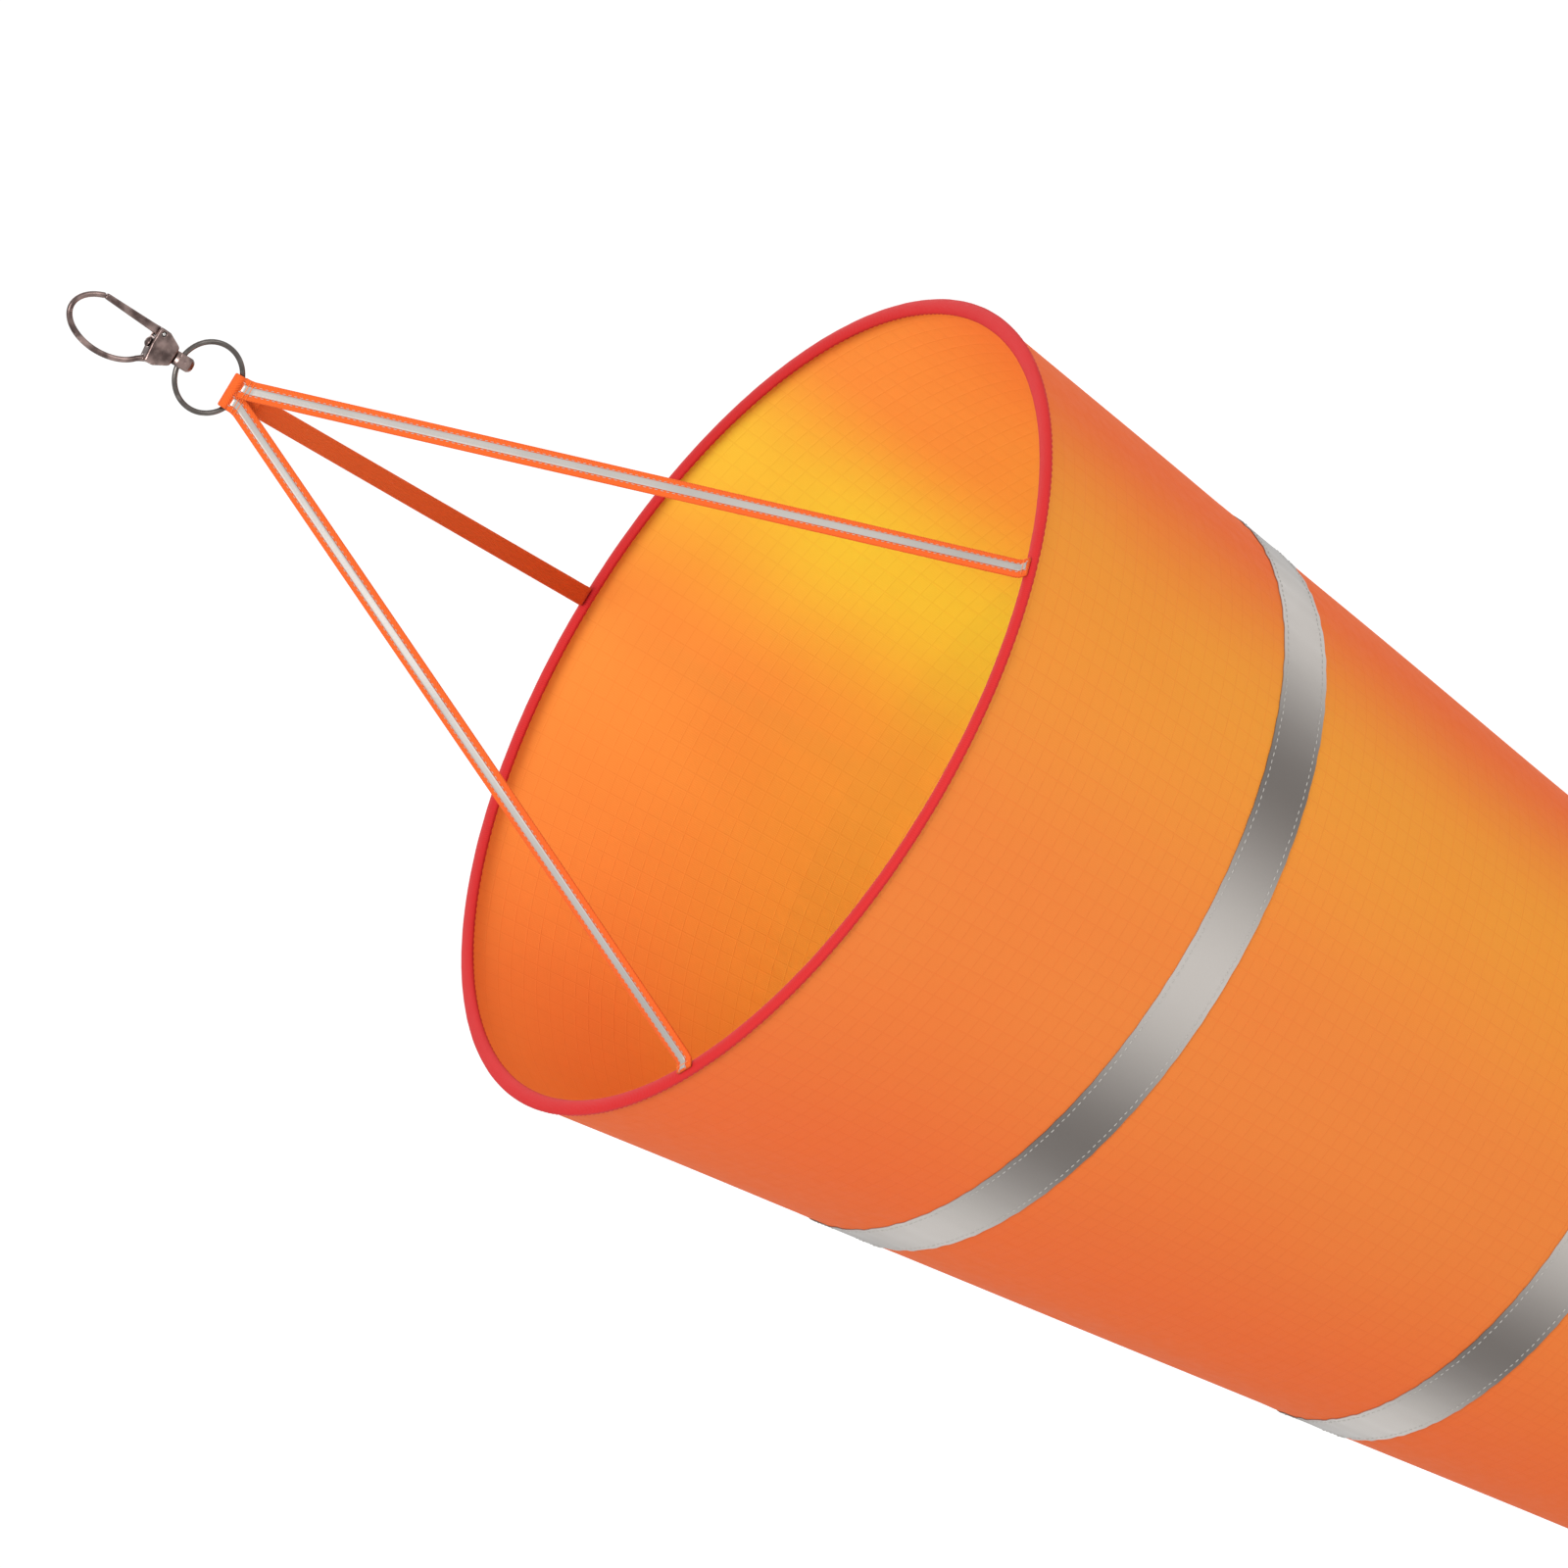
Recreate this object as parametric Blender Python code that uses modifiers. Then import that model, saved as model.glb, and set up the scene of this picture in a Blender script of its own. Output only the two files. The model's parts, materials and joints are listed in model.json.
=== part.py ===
"""A hanging windsock: snap hook, swivel, ring, three-strap bridle, hooped mouth and tapered sock.

The frame is in metres with +Z up. The origin is inside the top of the hook's bow, where the hook
hangs on its support, and the sock hangs straight down the Z axis. The sock is four stiff sections
joined at the lower edges of the reflective bands, which stand in for limp cloth.
"""

import math

import bmesh
import bpy
from mathutils import Vector

MM = 0.001
FIT_GAP = 0.3 * MM  # air between two pieces that touch

# Snap hook. The bow is an ellipse of wire, set to one side so that the gate stands straight.
HOOK_WIRE_RADIUS = 1.0 * MM
BOW_HALF_WIDTH = 8.8 * MM
BOW_HALF_HEIGHT = 15.5 * MM
BOW_SIDE_SHIFT = 2.4 * MM
BOW_NOSE_ANGLE = 30.0  # degrees, where the bow ends above the gate
BOW_HEEL_ANGLE = 240.0
BOLSTER_WIDTH = 12.4 * MM
BOLSTER_FOOT_WIDTH = 6.8 * MM
BOLSTER_SHOULDER = 4.2 * MM  # height of the straight upper part
BOLSTER_HEIGHT = 9.5 * MM
BOLSTER_DEPTH = 5.6 * MM
BOLSTER_EDGE = 0.5 * MM

# Gate, its pin and its leaf spring
GATE_THICKNESS = 2.2 * MM
GATE_ROOT_RADIUS = 1.5 * MM
GATE_TIP_RADIUS = 1.1 * MM
GATE_PIN_RADIUS = 0.6 * MM
GATE_PIN_X = 4.5 * MM
GATE_PIN_DROP = 2.0 * MM  # below the top of the bolster
SPRING_THICKNESS = 0.25 * MM
SPRING_WIDTH = 1.8 * MM

# Swivel stud, with a head above the bolster and an eye below it
SHANK_RADIUS = 1.2 * MM
HEAD_RADIUS = 1.8 * MM
HEAD_HEIGHT = 1.1 * MM
EYE_OUTER_RADIUS = 3.3 * MM
EYE_HEIGHT = 7.4 * MM
EYE_WIDTH = 4.8 * MM
EYE_DROP = 2.6 * MM  # eye centre below the top of the knob
EYE_PLAY = 0.7 * MM  # between the ring's wire and the eye's hole

# Ring
RING_OUTER_RADIUS = 12.6 * MM
RING_WIRE_RADIUS = 0.9 * MM
RING_REST_DROP = 0.25 * MM  # how far the wire hangs below the middle of the eye

# Bridle of flat webbing, with a reflective stripe down the outer face of each strap
BRIDLE_DROP = 215.6 * MM  # from the ring's lowest wire to the middle of the mouth's binding
WEBBING_THICKNESS = 1.2 * MM
TAB_WIDTH = 12.0 * MM
TAB_LEG = 7.0 * MM  # below the ring's wire
STRAP_WIDTH = 6.8 * MM
STRAP_SIDE_SHIFT = 2.8 * MM
STRAP_RISE = 3.0 * MM  # straps a and b start this far above the bottom of the ring's wire
STRAP_PAD = 3.4 * MM  # sewn length on the binding
STRIPE_WIDTH = 2.5 * MM
STRIPE_THICKNESS = 0.3 * MM
STRAP_AZIMUTHS = {"a": 304.0, "b": 221.0, "c": 89.0}

# Mouth: a flat hoop inside a folded binding, which also takes in the edge of the cloth
MOUTH_RADIUS = 150.0 * MM
BINDING_HALF_WIDTH = 2.7 * MM
BINDING_HALF_HEIGHT = 1.4 * MM
BINDING_WALL = 0.5 * MM
CLOTH_THICKNESS = 1.0 * MM
CLOTH_INSET = 1.2 * MM  # cloth's outer face inside the binding's outer edge

# Sock
SOCK_LENGTH = 660.0 * MM
TAIL_RADIUS = 65.0 * MM
BAND_WIDTH = 20.0 * MM
BAND_THICKNESS = 0.5 * MM
FIRST_BAND_END = 132.5 * MM  # lower edge of the first band below the mouth
BAND_PITCH = 187.0 * MM
SECTION_NAMES = ("front", "middle", "rear", "tail")
SECTION_LAP = 4.0 * MM  # how far each section starts inside the one above
SECTION_PLAY = 0.6 * MM
SEAM_WIDTH = 8.0 * MM
SEAM_THICKNESS = 0.8 * MM
SEAM_AZIMUTH = 90.0
SEAM_END_CLEARANCE = 3.0 * MM
HEM_HEIGHT = 12.0 * MM
HEM_THICKNESS = 0.8 * MM

# Facets
SOCK_SEGMENTS = 60
SMALL_SEGMENTS = 24
BOW_POINTS = 24
BINDING_POINTS = 14
STRAP_ROWS = 9
CUT_MARGIN = 1.0 * MM

# Levels and radii that follow
BOW_CENTRE_Z = HOOK_WIRE_RADIUS - BOW_HALF_HEIGHT
BOLSTER_TOP_Z = 2 * (HOOK_WIRE_RADIUS - BOW_HALF_HEIGHT)
BOLSTER_FOOT_Z = BOLSTER_TOP_Z - BOLSTER_HEIGHT
GATE_PIN_Z = BOLSTER_TOP_Z - GATE_PIN_DROP
GATE_PIN_HOLE_RADIUS = GATE_PIN_RADIUS + FIT_GAP
SLOT_START_X = SHANK_RADIUS + FIT_GAP + 0.7 * MM
SLOT_FLOOR_Z = GATE_PIN_Z - GATE_ROOT_RADIUS - 0.5 * MM
KNOB_TOP_Z = BOLSTER_FOOT_Z - FIT_GAP
EYE_Z = KNOB_TOP_Z - EYE_DROP
RING_RADIUS = RING_OUTER_RADIUS - RING_WIRE_RADIUS
RING_TOP_Z = EYE_Z - RING_REST_DROP
RING_Z = RING_TOP_Z - RING_RADIUS
RING_FOOT_Z = RING_Z - RING_RADIUS
TAB_INNER = RING_WIRE_RADIUS + FIT_GAP
TAB_ARCH_Z = RING_Z - math.sqrt(RING_RADIUS**2 - (TAB_WIDTH / 2) ** 2)
TAB_FOOT_Z = RING_FOOT_Z - RING_WIRE_RADIUS - TAB_LEG
MOUTH_Z = RING_FOOT_Z - BRIDLE_DROP
BINDING_RADIUS = MOUTH_RADIUS - BINDING_HALF_WIDTH
HOOP_HALF_WIDTH = BINDING_HALF_WIDTH - BINDING_WALL - FIT_GAP
HOOP_HALF_HEIGHT = BINDING_HALF_HEIGHT - BINDING_WALL - FIT_GAP
CLOTH_RADIUS = MOUTH_RADIUS - CLOTH_INSET
SECTION_STEP = CLOTH_THICKNESS + SECTION_PLAY
SECTION_TAPER = (CLOTH_RADIUS - TAIL_RADIUS - 3 * SECTION_STEP) / SOCK_LENGTH
TAIL_Z = MOUTH_Z - SOCK_LENGTH


def clear_scene():
    for obj in list(bpy.data.objects):
        bpy.data.objects.remove(obj, do_unlink=True)


def new_collection(name):
    collection = bpy.data.collections.new(name)
    bpy.context.scene.collection.children.link(collection)
    return collection


def new_material(name, color, roughness, metallic=0.0):
    material = bpy.data.materials.new(name)
    material.use_nodes = True
    shader = material.node_tree.nodes["Principled BSDF"]
    shader.inputs["Base Color"].default_value = (*color, 1.0)
    shader.inputs["Roughness"].default_value = roughness
    shader.inputs["Metallic"].default_value = metallic
    return material


def make_part(name, mesh, material, smooth=True):
    """A visible piece, in the collection of the parts."""
    obj = bpy.data.objects.new(name, mesh)
    PARTS.objects.link(obj)
    obj.data.materials.clear()
    obj.data.materials.append(material)
    if smooth:
        obj.data.shade_smooth()
    return obj


def make_cutter(obj):
    """Puts an object among the cutters, which are never rendered."""
    for collection in list(obj.users_collection):
        collection.objects.unlink(obj)
    CUTTERS.objects.link(obj)
    obj.hide_render = True
    obj.display_type = "WIRE"
    return obj


def combine(obj, operation, other):
    modifier = obj.modifiers.new(f"{operation} {other.name}", "BOOLEAN")
    modifier.operation = operation
    modifier.solver = "EXACT"
    modifier.object = other


def mesh_from_curve(curve):
    """The closed mesh of a bevelled or filled curve, with its caps welded on."""
    holder = bpy.data.objects.new("holder", curve)
    bpy.context.scene.collection.objects.link(holder)
    bpy.context.view_layer.update()
    evaluated = holder.evaluated_get(bpy.context.evaluated_depsgraph_get())
    mesh = bpy.data.meshes.new_from_object(evaluated)
    bpy.data.objects.remove(holder, do_unlink=True)
    work = bmesh.new()
    work.from_mesh(mesh)
    bmesh.ops.remove_doubles(work, verts=work.verts, dist=0.01 * MM)
    work.to_mesh(mesh)
    work.free()
    return mesh


def wire_mesh(name, points, radius):
    """A round wire along a line of points, with its ends filled."""
    curve = bpy.data.curves.new(name, "CURVE")
    curve.dimensions = "3D"
    curve.bevel_depth = radius
    curve.bevel_resolution = 2
    curve.use_fill_caps = True
    spline = curve.splines.new("POLY")
    spline.points.add(len(points) - 1)
    for point, place in zip(spline.points, points):
        point.co = (*place, 1.0)
    return mesh_from_curve(curve)


def plate_mesh(name, outline, thickness):
    """A flat plate in the XZ plane from an outline of (x, z) points, centred on y = 0."""
    curve = bpy.data.curves.new(name, "CURVE")
    curve.dimensions = "2D"
    curve.fill_mode = "BOTH"
    curve.extrude = thickness / 2
    spline = curve.splines.new("POLY")
    spline.points.add(len(outline) - 1)
    for point, (x, z) in zip(spline.points, outline):
        point.co = (x, z, 0.0, 1.0)
    spline.use_cyclic_u = True
    mesh = mesh_from_curve(curve)
    for vertex in mesh.vertices:
        x, z, y = vertex.co
        vertex.co = (x, -y, z)
    return mesh


def capsule_outline(start, start_radius, end, end_radius, steps=8):
    """The outline of a bar with round ends of two radii, anticlockwise from the start."""
    lean = math.atan2(end[1] - start[1], end[0] - start[0])
    outline = []
    for centre, radius, first in ((start, start_radius, 90.0), (end, end_radius, 270.0)):
        for step in range(steps + 1):
            angle = lean + math.radians(first + 180.0 * step / steps)
            x = centre[0] + radius * math.cos(angle)
            outline.append((x, centre[1] + radius * math.sin(angle)))
    return outline


def round_cutter(name, radius, depth, location, rotation=(0.0, 0.0, 0.0)):
    bpy.ops.mesh.primitive_cylinder_add(
        vertices=SMALL_SEGMENTS, radius=radius, depth=depth, location=location, rotation=rotation
    )
    cutter = bpy.context.active_object
    cutter.name = name
    return make_cutter(cutter)


def box_cutter(name, low, high):
    bpy.ops.mesh.primitive_cube_add(size=1.0, location=[(a + b) / 2 for a, b in zip(low, high)])
    cutter = bpy.context.active_object
    cutter.name = name
    cutter.scale = [b - a for a, b in zip(low, high)]
    return make_cutter(cutter)


def turn(obj, steps):
    """Turns a profile in the XZ plane right round the Z axis."""
    screw = obj.modifiers.new("Turn", "SCREW")
    screw.steps = steps
    screw.render_steps = steps
    screw.use_merge_vertices = True
    screw.merge_threshold = 0.01 * MM
    screw.use_normal_calculate = False
    return screw


def profile_mesh(name, points, closed):
    """A mesh of edges through (radius, z) points, which run down the outer side."""
    mesh = bpy.data.meshes.new(name)
    edges = [(i, i + 1) for i in range(len(points) - 1)]
    if closed:
        edges.append((len(points) - 1, 0))
    mesh.from_pydata([(radius, 0.0, z) for radius, z in points], edges, [])
    return mesh


def turned_part(name, points, material, steps, closed=True):
    obj = make_part(name, profile_mesh(name, points, closed), material, smooth=False)
    turn(obj, steps)
    return obj


def ribbon(name, rows, thickness, material):
    """A strip of even thickness through rows of (left, right) points."""
    verts = []
    for left, right in rows:
        verts += [left, right]
    faces = [(2 * i, 2 * i + 1, 2 * i + 3, 2 * i + 2) for i in range(len(rows) - 1)]
    mesh = bpy.data.meshes.new(name)
    mesh.from_pydata(verts, [], faces)
    obj = make_part(name, mesh, material, smooth=False)
    solid = obj.modifiers.new("Thickness", "SOLIDIFY")
    solid.thickness = thickness
    solid.offset = 0.0
    solid.use_even_offset = True
    return obj


def pivot(name, location):
    """An empty on a joint's axis, which the moving pieces are parented to."""
    empty = bpy.data.objects.new(name, None)
    PARTS.objects.link(empty)
    empty.location = location
    empty.empty_display_size = 10 * MM
    return empty


def hang_on(empty, pieces):
    """Parents the pieces without moving them."""
    bpy.context.view_layer.update()
    for piece in pieces:
        piece.parent = empty
        piece.matrix_parent_inverse = empty.matrix_world.inverted()


# ---------------------------------------------------------------- hook


def bow_point(angle):
    x = BOW_HALF_WIDTH * math.cos(math.radians(angle)) - BOW_SIDE_SHIFT
    return (x, 0.0, BOW_CENTRE_Z + BOW_HALF_HEIGHT * math.sin(math.radians(angle)))


def build_bow():
    """The bow's wire, from its nose over the top and down into the bolster."""
    sweep = BOW_HEEL_ANGLE - BOW_NOSE_ANGLE
    points = [bow_point(BOW_NOSE_ANGLE + sweep * i / BOW_POINTS) for i in range(BOW_POINTS + 1)]
    root_x = -BOLSTER_WIDTH / 2 + 1.6 * HOOK_WIRE_RADIUS
    points.append((root_x, 0.0, BOLSTER_TOP_Z - 2.5 * HOOK_WIRE_RADIUS))
    bow = bpy.data.objects.new("bow", wire_mesh("bow", points, HOOK_WIRE_RADIUS))
    return make_cutter(bow)


def build_hook_body():
    """The bolster with the bow joined to it, bored for the stud and slotted for the gate."""
    top = BOLSTER_WIDTH / 2
    foot = BOLSTER_FOOT_WIDTH / 2
    shoulder_z = BOLSTER_TOP_Z - BOLSTER_SHOULDER
    outline = [
        (-top, BOLSTER_TOP_Z),
        (-top, shoulder_z),
        (-foot, BOLSTER_FOOT_Z),
        (foot, BOLSTER_FOOT_Z),
        (top, shoulder_z),
        (top, BOLSTER_TOP_Z),
    ]
    mesh = plate_mesh("hook_body", outline, BOLSTER_DEPTH)
    body = make_part("hook_body", mesh, MATERIALS["hook_metal"])
    bevel = body.modifiers.new("Round edges", "BEVEL")
    bevel.width = BOLSTER_EDGE
    bevel.segments = 2
    bevel.limit_method = "ANGLE"
    combine(body, "UNION", build_bow())
    middle_z = (BOLSTER_TOP_Z + BOLSTER_FOOT_Z) / 2
    bore_depth = BOLSTER_HEIGHT + 2 * CUT_MARGIN
    bore = round_cutter("stud_bore", SHANK_RADIUS + FIT_GAP, bore_depth, (0, 0, middle_z))
    combine(body, "DIFFERENCE", bore)
    half_slot = GATE_THICKNESS / 2 + FIT_GAP
    low = (SLOT_START_X, -half_slot, SLOT_FLOOR_Z)
    high = (BOLSTER_WIDTH / 2 + CUT_MARGIN, half_slot, BOLSTER_TOP_Z + CUT_MARGIN)
    combine(body, "DIFFERENCE", box_cutter("gate_slot", low, high))
    place = (GATE_PIN_X, 0, GATE_PIN_Z)
    along_y = (math.pi / 2, 0, 0)
    depth = BOLSTER_DEPTH + 2 * CUT_MARGIN
    combine(body, "DIFFERENCE", round_cutter("pin_hole", GATE_PIN_HOLE_RADIUS, depth, place, along_y))
    return body


def build_gate():
    """The sprung bar that closes the bow, hinged at its foot."""
    nose_x, _, nose_z = bow_point(BOW_NOSE_ANGLE)
    tip = (nose_x + 0.3 * MM, nose_z - GATE_TIP_RADIUS - 0.4 * HOOK_WIRE_RADIUS - FIT_GAP)
    root = (GATE_PIN_X, GATE_PIN_Z)
    outline = capsule_outline(root, GATE_ROOT_RADIUS, tip, GATE_TIP_RADIUS)
    mesh = plate_mesh("hook_gate", outline, GATE_THICKNESS)
    gate = make_part("hook_gate", mesh, MATERIALS["hook_metal"])
    place = (GATE_PIN_X, 0, GATE_PIN_Z)
    depth = GATE_THICKNESS + 2 * CUT_MARGIN
    along_y = (math.pi / 2, 0, 0)
    combine(gate, "DIFFERENCE", round_cutter("gate_bore", GATE_PIN_HOLE_RADIUS, depth, place, along_y))
    hang_on(pivot("gate_axis", place), [gate])


def build_gate_pin():
    bpy.ops.mesh.primitive_cylinder_add(
        vertices=SMALL_SEGMENTS,
        radius=GATE_PIN_RADIUS,
        depth=BOLSTER_DEPTH,
        location=(GATE_PIN_X, 0, GATE_PIN_Z),
        rotation=(math.pi / 2, 0, 0),
    )
    made = bpy.context.active_object
    pin = make_part("gate_pin", made.data, MATERIALS["steel"])
    pin.matrix_world = made.matrix_world
    bpy.data.objects.remove(made, do_unlink=True)


def build_gate_spring():
    """A bowed leaf that stands in the slot behind the gate's root."""
    foot_z = SLOT_FLOOR_Z + FIT_GAP
    height = BOLSTER_TOP_Z + 1.2 * MM - foot_z
    rest_x = SLOT_START_X + 0.2 * MM + SPRING_THICKNESS / 2
    rows = []
    for step in range(5):
        share = step / 4
        x = rest_x + 0.15 * MM * math.sin(math.pi * share)
        z = foot_z + height * share
        rows.append(((x, SPRING_WIDTH / 2, z), (x, -SPRING_WIDTH / 2, z)))
    ribbon("gate_spring", rows, SPRING_THICKNESS, MATERIALS["steel"])


def build_swivel_stud():
    """The turned stud: a riveted head, a shank through the bolster and a flattened eye."""
    head_z = BOLSTER_TOP_Z + FIT_GAP
    knob_foot_z = KNOB_TOP_Z - EYE_HEIGHT
    profile = [
        (0.0, head_z + HEAD_HEIGHT),
        (0.55 * HEAD_RADIUS, head_z + 0.85 * HEAD_HEIGHT),
        (0.88 * HEAD_RADIUS, head_z + 0.5 * HEAD_HEIGHT),
        (HEAD_RADIUS, head_z),
        (SHANK_RADIUS, head_z),
        (SHANK_RADIUS, KNOB_TOP_Z),
        (0.72 * EYE_OUTER_RADIUS, KNOB_TOP_Z),
        (EYE_OUTER_RADIUS, KNOB_TOP_Z - 1.2 * MM),
        (EYE_OUTER_RADIUS, knob_foot_z + 1.4 * MM),
        (0.7 * EYE_OUTER_RADIUS, knob_foot_z),
        (0.0, knob_foot_z),
    ]
    stud = turned_part("swivel_stud", profile, MATERIALS["hook_metal"], SMALL_SEGMENTS, closed=False)
    reach = EYE_OUTER_RADIUS + CUT_MARGIN
    low = (-EYE_WIDTH / 2, -reach, knob_foot_z - CUT_MARGIN)
    high = (EYE_WIDTH / 2, reach, head_z + HEAD_HEIGHT + CUT_MARGIN)
    combine(stud, "INTERSECT", box_cutter("eye_flats", low, high))
    hole_radius = RING_WIRE_RADIUS + EYE_PLAY
    depth = EYE_WIDTH + 2 * CUT_MARGIN
    along_x = (0, math.pi / 2, 0)
    combine(stud, "DIFFERENCE", round_cutter("eye_hole", hole_radius, depth, (0, 0, EYE_Z), along_x))
    hang_on(pivot("swivel_axis", (0, 0, EYE_Z)), [stud])


def build_ring():
    bpy.ops.mesh.primitive_torus_add(
        major_radius=RING_RADIUS,
        minor_radius=RING_WIRE_RADIUS,
        major_segments=48,
        minor_segments=10,
        location=(0, 0, RING_Z),
        rotation=(math.pi / 2, 0, 0),
    )
    made = bpy.context.active_object
    ring = make_part("bridle_ring", made.data, MATERIALS["ring_metal"])
    ring.matrix_world = made.matrix_world
    bpy.data.objects.remove(made, do_unlink=True)
    hang_on(pivot("ring_axis", (0, 0, RING_TOP_Z)), [ring])


# ---------------------------------------------------------------- bridle


def build_tab():
    """A fold of webbing over the ring's lowest wire, with two legs below it."""
    middle = TAB_INNER + WEBBING_THICKNESS / 2
    line = [(-middle, TAB_FOOT_Z)]
    for step in range(9):
        angle = math.pi * (1 - step / 8)
        line.append((middle * math.cos(angle), TAB_ARCH_Z + middle * math.sin(angle)))
    line.append((middle, TAB_FOOT_Z))
    rows = [((-TAB_WIDTH / 2, y, z), (TAB_WIDTH / 2, y, z)) for y, z in line]
    return ribbon("bridle_tab", rows, WEBBING_THICKNESS, MATERIALS["webbing"])


def strap_start(letter):
    """Where a strap's middle line starts at the tab, and where it first bends, as two points.

    Straps a and b lie one on the other on the front of the tab, and c lies between its legs.
    """
    layer = WEBBING_THICKNESS + FIT_GAP
    front = TAB_INNER + WEBBING_THICKNESS / 2
    below_ring_z = RING_FOOT_Z - RING_WIRE_RADIUS - FIT_GAP
    start_z = RING_FOOT_Z - RING_WIRE_RADIUS + STRAP_RISE
    bend_z = start_z - 2.5 * MM
    if letter == "a":
        x, y = STRAP_SIDE_SHIFT, -front - 2 * layer
    elif letter == "b":
        x, y = -STRAP_SIDE_SHIFT, -front - layer
    else:
        x, y = 0.0, 0.0
        start_z = below_ring_z
        bend_z = TAB_FOOT_Z - 1.0 * MM
    return Vector((x, y, start_z)), Vector((x, y, bend_z))


def strap_line(letter):
    """A strap's rows, each its middle point, its direction across and its outward normal."""
    azimuth = math.radians(STRAP_AZIMUTHS[letter])
    outward = Vector((math.cos(azimuth), math.sin(azimuth), 0.0))
    across_azimuth = azimuth - math.pi / 2
    if math.cos(across_azimuth) < 0:
        across_azimuth += math.pi
    across_azimuth = math.remainder(across_azimuth, 2 * math.pi)
    start, bend = strap_start(letter)
    pad_z = MOUTH_Z + BINDING_HALF_HEIGHT + FIT_GAP + WEBBING_THICKNESS / 2
    foot = outward * (BINDING_RADIUS - STRAP_PAD / 2 - 0.4 * MM)
    foot.z = pad_z
    end = outward * (BINDING_RADIUS + STRAP_PAD / 2 - 0.4 * MM)
    end.z = pad_z
    middles = [start]
    turns = [0.0]
    for step in range(STRAP_ROWS):
        share = step / (STRAP_ROWS - 1)
        middles.append(bend.lerp(foot, share))
        turns.append(across_azimuth * share)
    middles.append(end)
    turns.append(across_azimuth)
    rows = []
    for i, (middle, turn_angle) in enumerate(zip(middles, turns)):
        across = Vector((math.cos(turn_angle), math.sin(turn_angle), 0.0))
        before = middles[i] - middles[i - 1] if i else middles[1] - middles[0]
        after = middles[i + 1] - middles[i] if i + 1 < len(middles) else before
        normals = [across.cross(way).normalized() for way in (before, after)]
        normals = [n if n.dot(outward) > 0 or n.z > 0.9 else -n for n in normals]
        mean = (normals[0] + normals[1]).normalized()
        rows.append((middle, across, mean / mean.dot(normals[0])))
    return rows


def build_strap(letter):
    line = strap_line(letter)
    half = STRAP_WIDTH / 2
    rows = [(middle - across * half, middle + across * half) for middle, across, _ in line]
    strap = ribbon(f"bridle_strap_{letter}", rows, WEBBING_THICKNESS, MATERIALS["webbing"])
    lift = WEBBING_THICKNESS / 2 + FIT_GAP + STRIPE_THICKNESS / 2
    half = STRIPE_WIDTH / 2
    rows = []
    for middle, across, normal in stripe_line(line, letter):
        raised = middle + normal * lift
        rows.append((raised - across * half, raised + across * half))
    stripe = ribbon(f"strap_stripe_{letter}", rows, STRIPE_THICKNESS, MATERIALS["reflective_tape"])
    return [strap, stripe]


def stripe_line(line, letter):
    """The rows that a stripe follows: all of them, or on the inner strap those below the tab."""
    if letter != "c":
        return line
    first, second = line[1], line[2]
    lowered = (first[0].lerp(second[0], 0.15), first[1], second[2])
    return [lowered] + line[2:]


# ---------------------------------------------------------------- mouth


def ellipse_arc(half_width, half_height, start, end, steps):
    """Points of an ellipse about the binding's middle, from angle start to end in degrees."""
    points = []
    for step in range(steps + 1):
        angle = math.radians(start + (end - start) * step / steps)
        radius = BINDING_RADIUS + half_width * math.cos(angle)
        points.append((radius, MOUTH_Z + half_height * math.sin(angle)))
    return points


def angle_at(offset, half_width):
    """The angle on the lower half of an ellipse where it passes a radial offset."""
    return 360.0 - math.degrees(math.acos(offset / half_width))


def build_binding():
    """A folded tape, open below along a slot that takes in the edge of the cloth."""
    cloth_outer = CLOTH_RADIUS - BINDING_RADIUS
    slot_outer = cloth_outer + FIT_GAP
    slot_inner = cloth_outer - CLOTH_THICKNESS - FIT_GAP
    inner_width = BINDING_HALF_WIDTH - BINDING_WALL
    inner_height = BINDING_HALF_HEIGHT - BINDING_WALL
    outside = ellipse_arc(
        BINDING_HALF_WIDTH,
        BINDING_HALF_HEIGHT,
        angle_at(slot_inner, BINDING_HALF_WIDTH),
        angle_at(slot_outer, BINDING_HALF_WIDTH) - 360.0,
        BINDING_POINTS,
    )
    inside = ellipse_arc(
        inner_width,
        inner_height,
        angle_at(slot_outer, inner_width) - 360.0,
        angle_at(slot_inner, inner_width),
        BINDING_POINTS - 4,
    )
    return turned_part("mouth_binding", outside + inside, MATERIALS["red_binding"], SOCK_SEGMENTS)


def build_hoop():
    """The flat springy hoop that keeps the mouth open."""
    loop = ellipse_arc(HOOP_HALF_WIDTH, HOOP_HALF_HEIGHT, 360.0, 36.0, 9)
    return turned_part("mouth_hoop", loop, MATERIALS["hoop_plastic"], SOCK_SEGMENTS)


# ---------------------------------------------------------------- sock


def joint_z(index):
    """The level of the lower edge of a band, where one section hangs in the next."""
    return MOUTH_Z - FIRST_BAND_END - index * BAND_PITCH


def cloth_radius(section, z):
    """The outer radius of a section's cloth at a level."""
    return CLOTH_RADIUS - section * SECTION_STEP - SECTION_TAPER * (MOUTH_Z - z)


def wall_loop(section, top_z, foot_z, inset, thickness):
    """The section of a wall that lies inset from the cloth's outer face, running down outside."""
    top = cloth_radius(section, top_z) - inset
    foot = cloth_radius(section, foot_z) - inset
    return [(top, top_z), (foot, foot_z), (foot - thickness, foot_z), (top - thickness, top_z)]


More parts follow.
